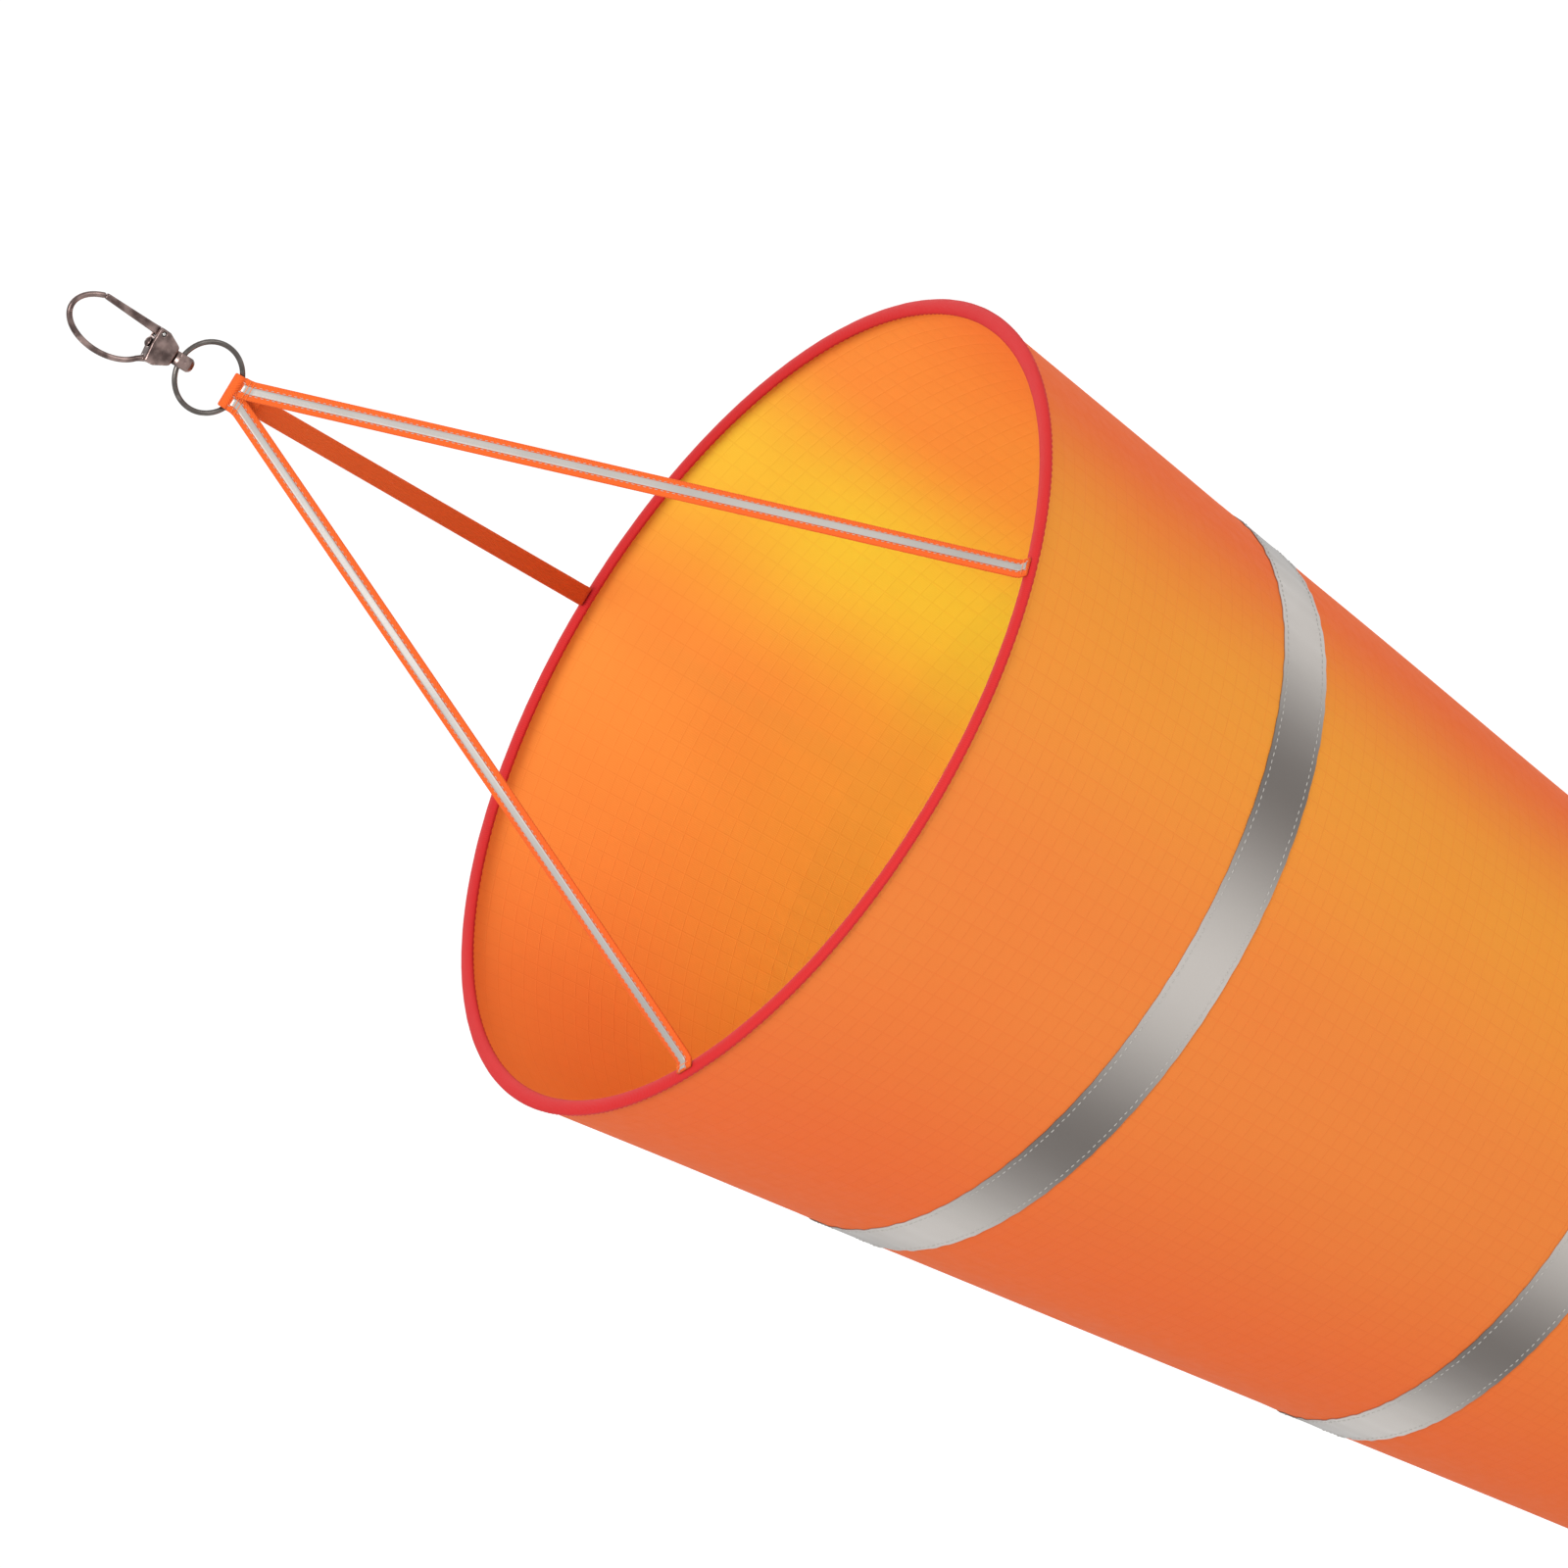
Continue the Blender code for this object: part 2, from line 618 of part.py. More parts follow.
def build_section(section):
    name = SECTION_NAMES[section]
    hoop_clearance = HOOP_HALF_HEIGHT + FIT_GAP
    top_z = MOUTH_Z - hoop_clearance if section == 0 else joint_z(section - 1) + SECTION_LAP
    last = section == len(SECTION_NAMES) - 1
    foot_z = TAIL_Z if last else joint_z(section)
    loop = wall_loop(section, top_z, foot_z, 0.0, CLOTH_THICKNESS)
    panel = turned_part(f"sock_panel_{name}", loop, MATERIALS["sock_cloth"], SOCK_SEGMENTS)
    pieces = [panel, build_seam(section, last)]
    if last:
        loop = wall_loop(section, TAIL_Z + HEM_HEIGHT, TAIL_Z, CLOTH_THICKNESS + FIT_GAP, HEM_THICKNESS)
        pieces.append(turned_part("tail_hem", loop, MATERIALS["sock_cloth"], SOCK_SEGMENTS))
    else:
        outset = -FIT_GAP - BAND_THICKNESS
        loop = wall_loop(section, foot_z + BAND_WIDTH, foot_z, outset, BAND_THICKNESS)
        band = f"reflective_band_{section + 1}"
        pieces.append(turned_part(band, loop, MATERIALS["reflective_tape"], SOCK_SEGMENTS))
    return pieces


def build_seam(section, last):
    """The strip over the seam that closes a section, on the outside at the back."""
    below_mouth = MOUTH_Z - BINDING_HALF_HEIGHT - FIT_GAP
    top_z = below_mouth if section == 0 else joint_z(section - 1) - SEAM_END_CLEARANCE
    foot_z = TAIL_Z if last else joint_z(section) + BAND_WIDTH + FIT_GAP
    azimuth = math.radians(SEAM_AZIMUTH)
    outward = Vector((math.cos(azimuth), math.sin(azimuth), 0.0))
    across = Vector((-math.sin(azimuth), math.cos(azimuth), 0.0)) * (SEAM_WIDTH / 2)
    rows = []
    for z in (top_z, foot_z):
        middle = outward * (cloth_radius(section, z) + FIT_GAP + SEAM_THICKNESS / 2)
        middle.z = z
        rows.append((middle - across, middle + across))
    name = f"side_seam_{SECTION_NAMES[section]}"
    return ribbon(name, rows, SEAM_THICKNESS, MATERIALS["seam_tape"])


def build_sock():
    """The bridle and the mouth with the front section, then the three sections below."""
    pieces = [build_tab(), build_binding(), build_hoop()]
    for letter in STRAP_AZIMUTHS:
        pieces += build_strap(letter)
    pieces += build_section(0)
    above = pivot("bridle_axis", (0, 0, RING_Z))
    hang_on(above, pieces)
    for section in range(1, len(SECTION_NAMES)):
        axis = pivot(f"droop_axis_{section}", (0, 0, joint_z(section - 1)))
        hang_on(above, [axis])
        hang_on(axis, build_section(section))
        above = axis


clear_scene()
PARTS = new_collection("windsock")
CUTTERS = new_collection("cutters")
MATERIALS = {
    "hook_metal": new_material("hook_metal", (0.16, 0.11, 0.10), 0.35, 0.9),
    "ring_metal": new_material("ring_metal", (0.10, 0.09, 0.08), 0.35, 0.9),
    "steel": new_material("steel", (0.55, 0.54, 0.52), 0.35, 1.0),
    "webbing": new_material("webbing", (0.87, 0.14, 0.02), 0.8),
    "reflective_tape": new_material("reflective_tape", (0.60, 0.57, 0.53), 0.35, 0.4),
    "red_binding": new_material("red_binding", (0.80, 0.03, 0.03), 0.7),
    "hoop_plastic": new_material("hoop_plastic", (0.85, 0.85, 0.82), 0.5),
    "sock_cloth": new_material("sock_cloth", (0.86, 0.22, 0.04), 0.7),
    "seam_tape": new_material("seam_tape", (0.80, 0.16, 0.03), 0.75),
}
build_hook_body()
build_gate()
build_gate_pin()
build_gate_spring()
build_swivel_stud()
build_ring()
build_sock()
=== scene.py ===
"""The finished look of a hanging windsock, laid out as an add-on and run as a script.

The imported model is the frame: every piece here takes its place from it, and nothing moves or
resizes it. Lengths are in metres, +Z is up, and the sock hangs down the Z axis.
"""

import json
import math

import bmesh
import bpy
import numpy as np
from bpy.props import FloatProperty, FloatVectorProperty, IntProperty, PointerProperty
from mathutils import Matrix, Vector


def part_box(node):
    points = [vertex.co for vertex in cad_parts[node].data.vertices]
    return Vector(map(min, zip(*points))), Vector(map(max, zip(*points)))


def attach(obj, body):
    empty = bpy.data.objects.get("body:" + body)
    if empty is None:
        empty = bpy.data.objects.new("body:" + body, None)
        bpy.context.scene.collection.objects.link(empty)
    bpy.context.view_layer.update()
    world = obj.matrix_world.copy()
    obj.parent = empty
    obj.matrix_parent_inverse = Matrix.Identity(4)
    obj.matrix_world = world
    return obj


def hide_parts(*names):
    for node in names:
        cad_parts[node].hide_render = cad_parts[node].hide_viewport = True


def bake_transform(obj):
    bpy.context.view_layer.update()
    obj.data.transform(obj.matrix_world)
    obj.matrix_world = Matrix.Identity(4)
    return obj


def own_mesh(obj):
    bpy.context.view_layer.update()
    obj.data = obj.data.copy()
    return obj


bl_info = {
    "name": "Hanging windsock",
    "version": (1, 0, 0),
    "blender": (4, 5, 0),
    "location": "View3D > Sidebar > Windsock",
    "description": "Builds the cloth, webbing, tape, stitching and hook of a windsock",
    "category": "Object",
}

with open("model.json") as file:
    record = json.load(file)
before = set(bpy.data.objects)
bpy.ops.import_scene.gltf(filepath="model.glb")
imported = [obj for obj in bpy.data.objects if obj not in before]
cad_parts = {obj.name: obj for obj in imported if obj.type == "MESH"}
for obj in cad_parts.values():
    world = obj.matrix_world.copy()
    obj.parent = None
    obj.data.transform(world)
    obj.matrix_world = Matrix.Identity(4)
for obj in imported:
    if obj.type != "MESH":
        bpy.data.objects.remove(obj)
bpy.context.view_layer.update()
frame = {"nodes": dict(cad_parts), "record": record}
MM = 0.001
LOOKS = bpy.data.collections.new("windsock looks")
bpy.context.scene.collection.children.link(LOOKS)

# ------------------------------------------------------------ places read from the frame

JOINTS = {joint["name"]: joint["pos_m"] for joint in frame["record"]["behaviour"]["joints"]}
DROOP_Z = [JOINTS[name][2] for name in ("droop_1", "droop_2", "droop_3")]
BODIES = ("sock_front", "sock_middle", "sock_rear", "sock_tail")
SECTIONS = ("front", "middle", "rear", "tail")
RING_Z = JOINTS["bridle_swing"][2]
RING_RADIUS = JOINTS["ring_swing"][2] - RING_Z
RING_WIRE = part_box("bridle_ring")[1][0] - RING_RADIUS
RING_FOOT_Z = RING_Z - RING_RADIUS - RING_WIRE
EYE_Z = JOINTS["swivel_spin"][2]
BINDING_LOW, BINDING_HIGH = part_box("mouth_binding")
MOUTH_RADIUS = BINDING_HIGH[0]
MOUTH_Z = (BINDING_LOW[2] + BINDING_HIGH[2]) / 2
BINDING_HALF_HEIGHT = (BINDING_HIGH[2] - BINDING_LOW[2]) / 2
TAIL_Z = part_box("sock_panel_tail")[0][2]
BAND_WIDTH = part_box("reflective_band_1")[1][2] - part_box("reflective_band_1")[0][2]
HEM_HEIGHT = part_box("tail_hem")[1][2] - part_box("tail_hem")[0][2]
TAB_FOOT_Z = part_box("bridle_tab")[0][2]
TAB_HALF_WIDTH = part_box("bridle_tab")[1][0]
HOOK_LOW, HOOK_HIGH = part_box("hook_body")
GATE_X, _, GATE_Z = JOINTS["gate_open"]
GATE_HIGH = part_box("hook_gate")[1]
STUD_LOW, STUD_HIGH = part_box("swivel_stud")
BINDING_HALF_WIDTH = 2.7 * MM
BINDING_RADIUS = MOUTH_RADIUS - BINDING_HALF_WIDTH
SEAM_AZIMUTH = math.radians(90.0)
STRAP_AZIMUTHS = {"a": 304.0, "b": 221.0, "c": 89.0}
WEBBING_GAP = 0.3 * MM


# ------------------------------------------------------------ settings


def length_setting(name, description, metres):
    return FloatProperty(name=name, description=description, default=metres, unit="LENGTH")


def angle_setting(name, description, degrees):
    return FloatProperty(name=name, description=description, default=math.radians(degrees), subtype="ANGLE")


def colour_setting(name, description, colour):
    return FloatVectorProperty(name=name, description=description, default=colour, subtype="COLOR")


class WindsockCloth(bpy.types.PropertyGroup):
    """Sizes of the cloth and of what is sewn on it."""

    thickness: length_setting("Cloth thickness", "Thickness of the sock's cloth", 0.00045)
    mouth_radius: length_setting("Mouth radius", "Outer radius of the cloth at the mouth", 0.1488)
    tail_radius: length_setting("Tail radius", "Outer radius of the cloth at the tail", 0.065)
    ripple: length_setting("Ripple", "Height of the soft folds down the cloth", 0.0009)
    pucker: length_setting("Pucker", "Height of the puckers beside a sewn line", 0.00022)
    ply_gap: length_setting("Ply gap", "Space between two layers that are sewn together", 0.00008)
    joint_cover: length_setting("Joint cover", "Height of band below the line where two panels meet", 0.004)
    bend_length: length_setting("Bend length", "Length of cloth that bends below a band", 0.06)
    columns: IntProperty(name="Columns", description="Faces round the sock", default=360)
    row_height: length_setting("Row height", "Height of one row of faces", 0.003)


class WindsockTrim(bpy.types.PropertyGroup):
    """Sizes of the webbing, tapes and stitches."""

    webbing_width: length_setting("Webbing width", "Width of a bridle strap", 0.0068)
    webbing_thickness: length_setting("Webbing thickness", "Thickness of a bridle strap", 0.0012)
    stripe_width: length_setting("Stripe width", "Width of the strap's stripe", 0.0025)
    stripe_thickness: length_setting("Stripe thickness", "Thickness of the strap's stripe", 0.00025)
    band_thickness: length_setting("Band thickness", "Thickness of a band's tape", 0.0003)
    seam_width: length_setting("Seam width", "Width of the tape over the side seam", 0.008)
    stitch_pitch: length_setting("Stitch pitch", "Length from stitch to stitch", 0.0027)
    stitch_length: length_setting("Stitch length", "Length of thread that shows", 0.0019)
    thread_radius: length_setting("Thread radius", "Radius of the sewing thread", 0.0002)


class WindsockColours(bpy.types.PropertyGroup):
    """The colours a user would change."""

    # The outside cloth colours paint light and shade round the sock: a painted highlight, a midtone and
    # painted shade.
    cloth_painted_highlight: colour_setting("Cloth, lit side", "Cloth where it is palest", (0.770, 0.297, 0.038))
    cloth_painted_midtone: colour_setting("Cloth, middle", "Cloth between its two shades", (0.740, 0.215, 0.044))
    cloth_painted_shade: colour_setting("Cloth, deep side", "Cloth where it is deepest", (0.760, 0.148, 0.038))
    # The inside colours paint a glow where light would shine through the cloth, a midtone and painted shade.
    inside_painted_glow: colour_setting("Inside, lit stripe", "Inner face where it is palest", (0.970, 0.820, 0.060))
    inside_painted_midtone: colour_setting("Inside, middle", "Inner face between its shades", (0.980, 0.400, 0.070))
    inside_painted_shade: colour_setting("Inside, deep", "Inner face where it is deepest", (0.980, 0.270, 0.060))
    webbing: colour_setting("Webbing", "Woven straps", (0.720, 0.112, 0.019))
    binding: colour_setting("Binding", "Tape round the mouth", (0.520, 0.020, 0.021))
    # Tape colours: on a band, the ends of its painted reflections; on a stripe, the range of its own tone.
    tape_light_tone_and_sheen: colour_setting("Tape, light", "Reflective tape where palest", (0.475, 0.442, 0.412))
    tape_dark_tone_and_sheen: colour_setting("Tape, dark", "Reflective tape where darkest", (0.132, 0.116, 0.105))
    metal_dark: colour_setting("Metal, dark", "Burnished metal in its hollows", (0.060, 0.040, 0.037))
    # This paler metal colour stands partly for rubbed-through film and partly for painted highlights.
    metal_worn_and_highlight: colour_setting("Metal, worn", "Burnished metal where rubbed", (0.480, 0.350, 0.320))


class WindsockStage(bpy.types.PropertyGroup):
    """Where the camera, lights and floor stand."""

    camera_elevation: angle_setting("Camera elevation", "Angle above the mouth's plane", 26.45)
    camera_roll: angle_setting("Camera roll", "Turn about the line of sight", 59.03)
    camera_distance: length_setting("Camera distance", "From the mouth's middle", 6.389)
    camera_lens: FloatProperty(name="Lens", description="Focal length in millimetres", default=450.0)
    camera_side: length_setting("Camera side step", "Step to the camera's own right", 0.0101)
    camera_rise: length_setting("Camera rise", "Step along the camera's own up", -0.0257)
    floor_drop: length_setting("Floor drop", "Floor below the tail", 6.0)
    sky_strength: FloatProperty(name="Sky strength", description="Light from all round", default=0.75)


SETTINGS = {
    "windsock_cloth": WindsockCloth,
    "windsock_trim": WindsockTrim,
    "windsock_colours": WindsockColours,
    "windsock_stage": WindsockStage,
}


def setting(group):
    return getattr(bpy.context.scene, f"windsock_{group}")


# ------------------------------------------------------------ finishes


class NodeMaker:
    """Adds nodes to its tree; an input is given a value, or another node's output to link to."""

    def node(self, kind, inputs=None, **choices):
        made = self.tree.nodes.new(kind)
        for key, value in choices.items():
            setattr(made, key, value)
        for key, value in (inputs or {}).items():
            self.feed(made.inputs[key], value)
        return made

    def feed(self, socket, value):
        if isinstance(value, bpy.types.NodeSocket):
            self.tree.links.new(value, socket)
        else:
            socket.default_value = value

    def maths(self, operation, first, second=0.0, third=0.0, clamp=False):
        inputs = {0: first, 1: second, 2: third}
        return self.node("ShaderNodeMath", inputs, operation=operation, use_clamp=clamp).outputs[0]


class Finish(NodeMaker):
    """Builds one procedural material, node by node.

    The finish of a piece that bends reads where each point lies at rest, so it stays with the cloth.
    """

    def __init__(self, name, bends=False):
        self.material = bpy.data.materials.new(name)
        self.material.use_nodes = True
        self.tree = self.material.node_tree
        self.shader = self.tree.nodes["Principled BSDF"]
        self.output = self.tree.nodes["Material Output"]
        place = self.node("ShaderNodeTexCoord")
        self.place = place.outputs["Object"]
        self.uv = place.outputs["UV"]
        if bends:
            self.place = self.node("ShaderNodeAttribute", attribute_name="rest").outputs["Vector"]
        self.height = None

    def axes(self, vector):
        return self.node("ShaderNodeSeparateXYZ", {0: vector}).outputs

    def azimuth_share(self):
        """The direction round the Z axis, from 0 at -180 degrees to 1 at 180."""
        x, y, _ = self.axes(self.place)
        turn = self.maths("ARCTAN2", y, x)
        return self.maths("ADD", self.maths("DIVIDE", turn, 2 * math.pi), 0.5)

    def noise(self, scale, detail=3.0, vector=None, stretch=None):
        vector = vector or self.place
        if stretch:
            vector = self.node("ShaderNodeMapping", {"Vector": vector, "Scale": stretch}).outputs[0]
        inputs = {"Vector": vector, "Scale": scale, "Detail": detail}
        return self.node("ShaderNodeTexNoise", inputs).outputs["Fac"]

    def ramp(self, factor, stops):
        """Eases from stop to stop; a stop's value is a number or a colour."""
        made = self.node("ShaderNodeValToRGB", {0: factor})
        made.color_ramp.interpolation = "EASE"
        elements = made.color_ramp.elements
        while len(elements) > 1:
            elements.remove(elements[-1])
        for i, (position, value) in enumerate(stops):
            element = elements[0] if i == 0 else elements.new(position)
            element.position = position
            colour = value if hasattr(value, "__len__") else (value, value, value)
            element.color = (*colour, 1.0)
        return made.outputs[0]

    def patches(self, scale, low, high, detail=3.0):
        """Soft patches that ease between two (position, value) stops."""
        return self.ramp(self.noise(scale, detail), [low, high])

    def mix(self, factor, first, second, blend="MIX"):
        made = self.node("ShaderNodeMix", data_type="RGBA", blend_type=blend)
        for index, value in ((0, factor), (6, first), (7, second)):
            if index and not isinstance(value, bpy.types.NodeSocket):
                value = (*value, 1.0)
            self.feed(made.inputs[index], value)
        return made.outputs[2]

    def grooves(self, coordinate, pitch, share):
        """1 in a thin line once every pitch along a coordinate, else 0, with soft sides."""
        phase = self.maths("FRACT", self.maths("DIVIDE", coordinate, pitch))
        middle = self.maths("ABSOLUTE", self.maths("SUBTRACT", phase, 0.5))
        inputs = {"Value": middle, "From Min": share / 2, "From Max": share, "To Min": 1.0, "To Max": 0.0}
        return self.node("ShaderNodeMapRange", inputs).outputs[0]

    def waves(self, coordinate, pitch):
        """A smooth wave from 0 to 1 along a coordinate."""
        turn = self.maths("MULTIPLY", coordinate, 2 * math.pi / pitch)
        return self.maths("MULTIPLY", self.maths("ADD", self.maths("SINE", turn), 1.0), 0.5)

    def bump(self, height, distance, strength=1.0):
        inputs = {"Height": height, "Distance": distance, "Strength": strength}
        if self.height:
            inputs["Normal"] = self.height
        self.height = self.node("ShaderNodeBump", inputs).outputs[0]

    def finish(self, **sockets):
        for name, value in sockets.items():
            name = name.replace("_", " ").title().replace("Ior", "IOR")
            if hasattr(value, "__len__") and not isinstance(value, bpy.types.NodeSocket):
                value = (*value, 1.0)
            self.feed(self.shader.inputs[name], value)
        if self.height:
            self.feed(self.shader.inputs["Normal"], self.height)
        return self.material


def darker(colour, share):
    return [value * share for value in colour]


RIP_PITCH = 5 * MM
RIP_COLOUR = (0.70, 0.08, 0.02)
WEAVE_PITCH = 0.55 * MM
CLOUD_COLOUR = (0.80, 0.12, 0.03)
SHADED_DEPTH = 150 * MM


def cloth_finish(name, stops, translucency, rip_shade, painted_mouth_shade=None, painted_deep_glow=None):
    """Ripstop cloth: a fine plain weave crossed by thicker threads, letting some light through.

    Each stop is a direction round the sock, in degrees from -180 to 180, and its colour.
    """
    cloth = Finish(name, bends=True)
    across, along, _ = cloth.axes(cloth.uv)
    rips = [cloth.grooves(coordinate, RIP_PITCH, 0.05) for coordinate in (across, along)]
    rip = cloth.maths("MAXIMUM", *rips)
    weave = cloth.maths("MULTIPLY", cloth.waves(across, WEAVE_PITCH), cloth.waves(along, WEAVE_PITCH))
    # The colour stops round the sock paint light and shade.
    stops = [((degrees + 180.0) / 360.0, colour) for degrees, colour in stops]
    base = cloth.ramp(cloth.azimuth_share(), stops)
    # Painted shade on the inner face near the mouth, and a painted glow deeper in, by depth below the mouth.
    if painted_mouth_shade:
        _, _, height = cloth.axes(cloth.place)
        depth = cloth.maths("DIVIDE", cloth.maths("SUBTRACT", MOUTH_Z, height), SHADED_DEPTH)
        base = cloth.mix(cloth.ramp(depth, [(0.1, 0.20), (0.45, 0.0)]), base, painted_mouth_shade)
        base = cloth.mix(cloth.ramp(depth, [(0.3, 0.0), (1.0, 0.30)]), base, painted_deep_glow)
    base = cloth.mix(cloth.patches(14.0, (0.35, 0.0), (0.75, 0.10), 4.0), base, CLOUD_COLOUR)
    base = cloth.mix(cloth.maths("MULTIPLY", rip, rip_shade), base, RIP_COLOUR)
    cloth.bump(cloth.noise(90.0, 3.0), 0.4 * MM, 0.25)
    cloth.bump(cloth.maths("ADD", rip, cloth.maths("MULTIPLY", weave, 0.5)), 0.06 * MM, 0.6)
    rough = cloth.patches(220.0, (0.2, 0.58), (0.8, 0.72))
    cloth.finish(base_color=base, roughness=rough, specular_ior_level=0.05, sheen_weight=0.0)
    through = cloth.node("ShaderNodeBsdfTranslucent", {"Color": base, "Normal": cloth.height})
    inputs = {0: translucency, 1: cloth.shader.outputs[0], 2: through.outputs[0]}
    both = cloth.node("ShaderNodeMixShader", inputs)
    cloth.feed(cloth.output.inputs["Surface"], both.outputs[0])
    return cloth.material


def outside_cloth():
    c = setting("colours")
    # Painted light and shade round the outside: the painted highlight near -52 degrees, painted shade
    # towards the edges and round the back.
    stops = [
        (-180, c.cloth_painted_shade),
        (-150, c.cloth_painted_shade),
        (-95, c.cloth_painted_midtone),
        (-52, c.cloth_painted_highlight),
        (-18, c.cloth_painted_shade),
        (40, c.cloth_painted_shade),
        (110, c.cloth_painted_midtone),
        (179, c.cloth_painted_shade),
    ]
    return cloth_finish("sock_cloth_outside", stops, 0.15, 0.10)


def inside_cloth():
    c = setting("colours")
    # Painted light and shade on the inner face: a painted glow near 62 degrees, where light would shine
    # through, and painted shade elsewhere.
    stops = [
        (-180, c.inside_painted_shade),
        (-60, c.inside_painted_shade),
        (0, c.inside_painted_shade),
        (40, c.inside_painted_midtone),
        (62, c.inside_painted_glow),
        (88, c.inside_painted_midtone),
        (150, c.inside_painted_shade),
        (176, c.inside_painted_shade),
    ]
    return cloth_finish("sock_cloth_inside", stops, 0.15, 0.05, c.inside_painted_shade, c.inside_painted_glow)


def webbing_finish(name, colour):
    """Woven strap: herringbone ribs that run with the strap's own map."""
    webbing = Finish(name, bends=True)
    across, along, _ = webbing.axes(webbing.uv)
    slant = webbing.maths("ABSOLUTE", across)
    ribs = webbing.waves(webbing.maths("ADD", along, slant), 0.9 * MM)
    cords = webbing.waves(across, 0.8 * MM)
    base = webbing.mix(webbing.maths("MULTIPLY", ribs, 0.35), colour, darker(colour, 0.72))
    base = webbing.mix(webbing.patches(60.0, (0.3, 0.0), (0.8, 0.18)), base, darker(colour, 0.8))
    relief = webbing.maths("MULTIPLY_ADD", ribs, 0.7, webbing.maths("MULTIPLY", cords, 0.3))
    webbing.bump(relief, 0.14 * MM)
    webbing.bump(webbing.noise(900.0, 2.0), 0.05 * MM, 0.5)
    return webbing.finish(
        base_color=base,
        roughness=0.82,
        specular_ior_level=0.12,
        sheen_weight=0.04,
        sheen_roughness=0.4,
    )


# Painted reflection zones on a band: how many a turn, and where they start.
BAND_SHEEN_ZONES = 6.0
SHEEN_ZONE_SHIFT = -0.29


def tape_finish(name, round_sock):
    """Reflective tape: packed glass beads over silver, with painted reflections in long soft zones round a
    band.
    """
    c = setting("colours")
    tape = Finish(name)
    beads = tape.node("ShaderNodeTexVoronoi", {"Vector": tape.place, "Scale": 1500.0}).outputs["Distance"]
    # Painted reflection: light and dark zones, fixed round the band, stand in for the tape's reflections.
    if round_sock:
        turn = tape.maths("MULTIPLY", tape.azimuth_share(), BAND_SHEEN_ZONES)
        drift = tape.maths("MULTIPLY_ADD", tape.noise(3.0, 1.0), 0.12, SHEEN_ZONE_SHIFT)
        sheen_and_tone = tape.waves(tape.maths("ADD", turn, drift), 1.0)
    # On a stripe, soft streaks along the tape vary its own tone between the same two colours.
    else:
        sheen_and_tone = tape.ramp(tape.noise(9.0, 2.0, tape.uv, (0.2, 1.0, 1.0)), [(0.25, 0.70), (0.7, 1.0)])
    base = tape.mix(sheen_and_tone, c.tape_dark_tone_and_sheen, c.tape_light_tone_and_sheen)
    speck = tape.ramp(beads, [(0.0, 1.0), (0.6, 0.86)])
    base = tape.mix(1.0, base, tape.mix(speck, (0.86, 0.86, 0.86), (1.0, 1.0, 1.0)), "MULTIPLY")
    rough = tape.patches(35.0, (0.3, 0.34), (0.75, 0.46))
    tape.bump(beads, 0.02 * MM, 0.5)
    tape.bump(tape.noise(45.0, 2.0), 0.35 * MM, 0.3)
    return tape.finish(
        base_color=base,
        roughness=rough,
        metallic=0.55,
        coat_weight=0.12,
        coat_roughness=0.3,
    )


def binding_finish():
    """Red woven tape, ribbed across, folded over the hoop."""
    red = setting("colours").binding
    tape = Finish("red_binding_tape")
    along = tape.maths("MULTIPLY", tape.azimuth_share(), 2 * math.pi * MOUTH_RADIUS)
    ribs = tape.waves(along, 0.8 * MM)
    base = tape.mix(tape.maths("MULTIPLY", ribs, 0.22), red, darker(red, 0.7))
    base = tape.mix(tape.patches(40.0, (0.35, 0.0), (0.8, 0.22)), base, darker(red, 0.8))
    tape.bump(ribs, 0.10 * MM, 0.7)
    tape.bump(tape.noise(700.0, 2.0), 0.05 * MM, 0.5)
    return tape.finish(
        base_color=base,
        roughness=0.7,
        specular_ior_level=0.12,
        sheen_weight=0.03,
        sheen_roughness=0.4,
    )


def burnished_metal(name, dark, worn_and_highlight, share, rough_low, rough_high):
    """Cast or drawn metal, its dark film rubbed through on the edges and paler in soft blotches: partly
    rubbing, partly painted highlights.
    """
    metal = Finish(name)
    # Paler on the edges and in soft blotches: partly the film rubbed through, partly painted highlights.
    edge = metal.node("ShaderNodeNewGeometry").outputs["Pointiness"]
    rubbed = metal.ramp(edge, [(0.49, 0.0), (0.56, 1.0)])
    highlight_blotch = metal.maths("MULTIPLY", metal.patches(170.0, (0.36, 0.0), (0.74, 1.0)), share)
    wear_and_highlight = metal.maths("MULTIPLY_ADD", rubbed, 0.5, highlight_blotch, clamp=True)
    base = metal.mix(wear_and_highlight, dark, worn_and_highlight)
    scratch = metal.noise(500.0, 3.0, None, (1.0, 1.0, 0.12))
    rough = metal.patches(320.0, (0.3, rough_low), (0.75, rough_high))
    metal.bump(metal.noise(900.0, 3.0), 0.03 * MM, 0.5)
    metal.bump(scratch, 0.02 * MM, 0.6)
    return metal.finish(base_color=base, roughness=rough, metallic=0.95)


def plain_steel():
    steel = Finish("spring_steel")
    grain = steel.noise(700.0, 3.0, None, (1.0, 0.1, 1.0))
    dull = steel.ramp(grain, [(0.3, 0.0), (0.8, 0.4)])
    base = steel.mix(dull, (0.56, 0.55, 0.53), (0.34, 0.33, 0.32))
    steel.bump(grain, 0.01 * MM, 0.5)
    rough = steel.patches(300.0, (0.3, 0.25), (0.7, 0.42))
    return steel.finish(base_color=base, roughness=rough, metallic=1.0)


def hoop_plastic():
    plastic = Finish("hoop_plastic_strip")
    grain = plastic.noise(260.0, 3.0)
    dull = plastic.ramp(grain, [(0.3, 0.0), (0.8, 0.5)])
    base = plastic.mix(dull, (0.85, 0.85, 0.82), (0.70, 0.70, 0.66))
    plastic.bump(grain, 0.02 * MM, 0.5)
    return plastic.finish(base_color=base, roughness=0.45)


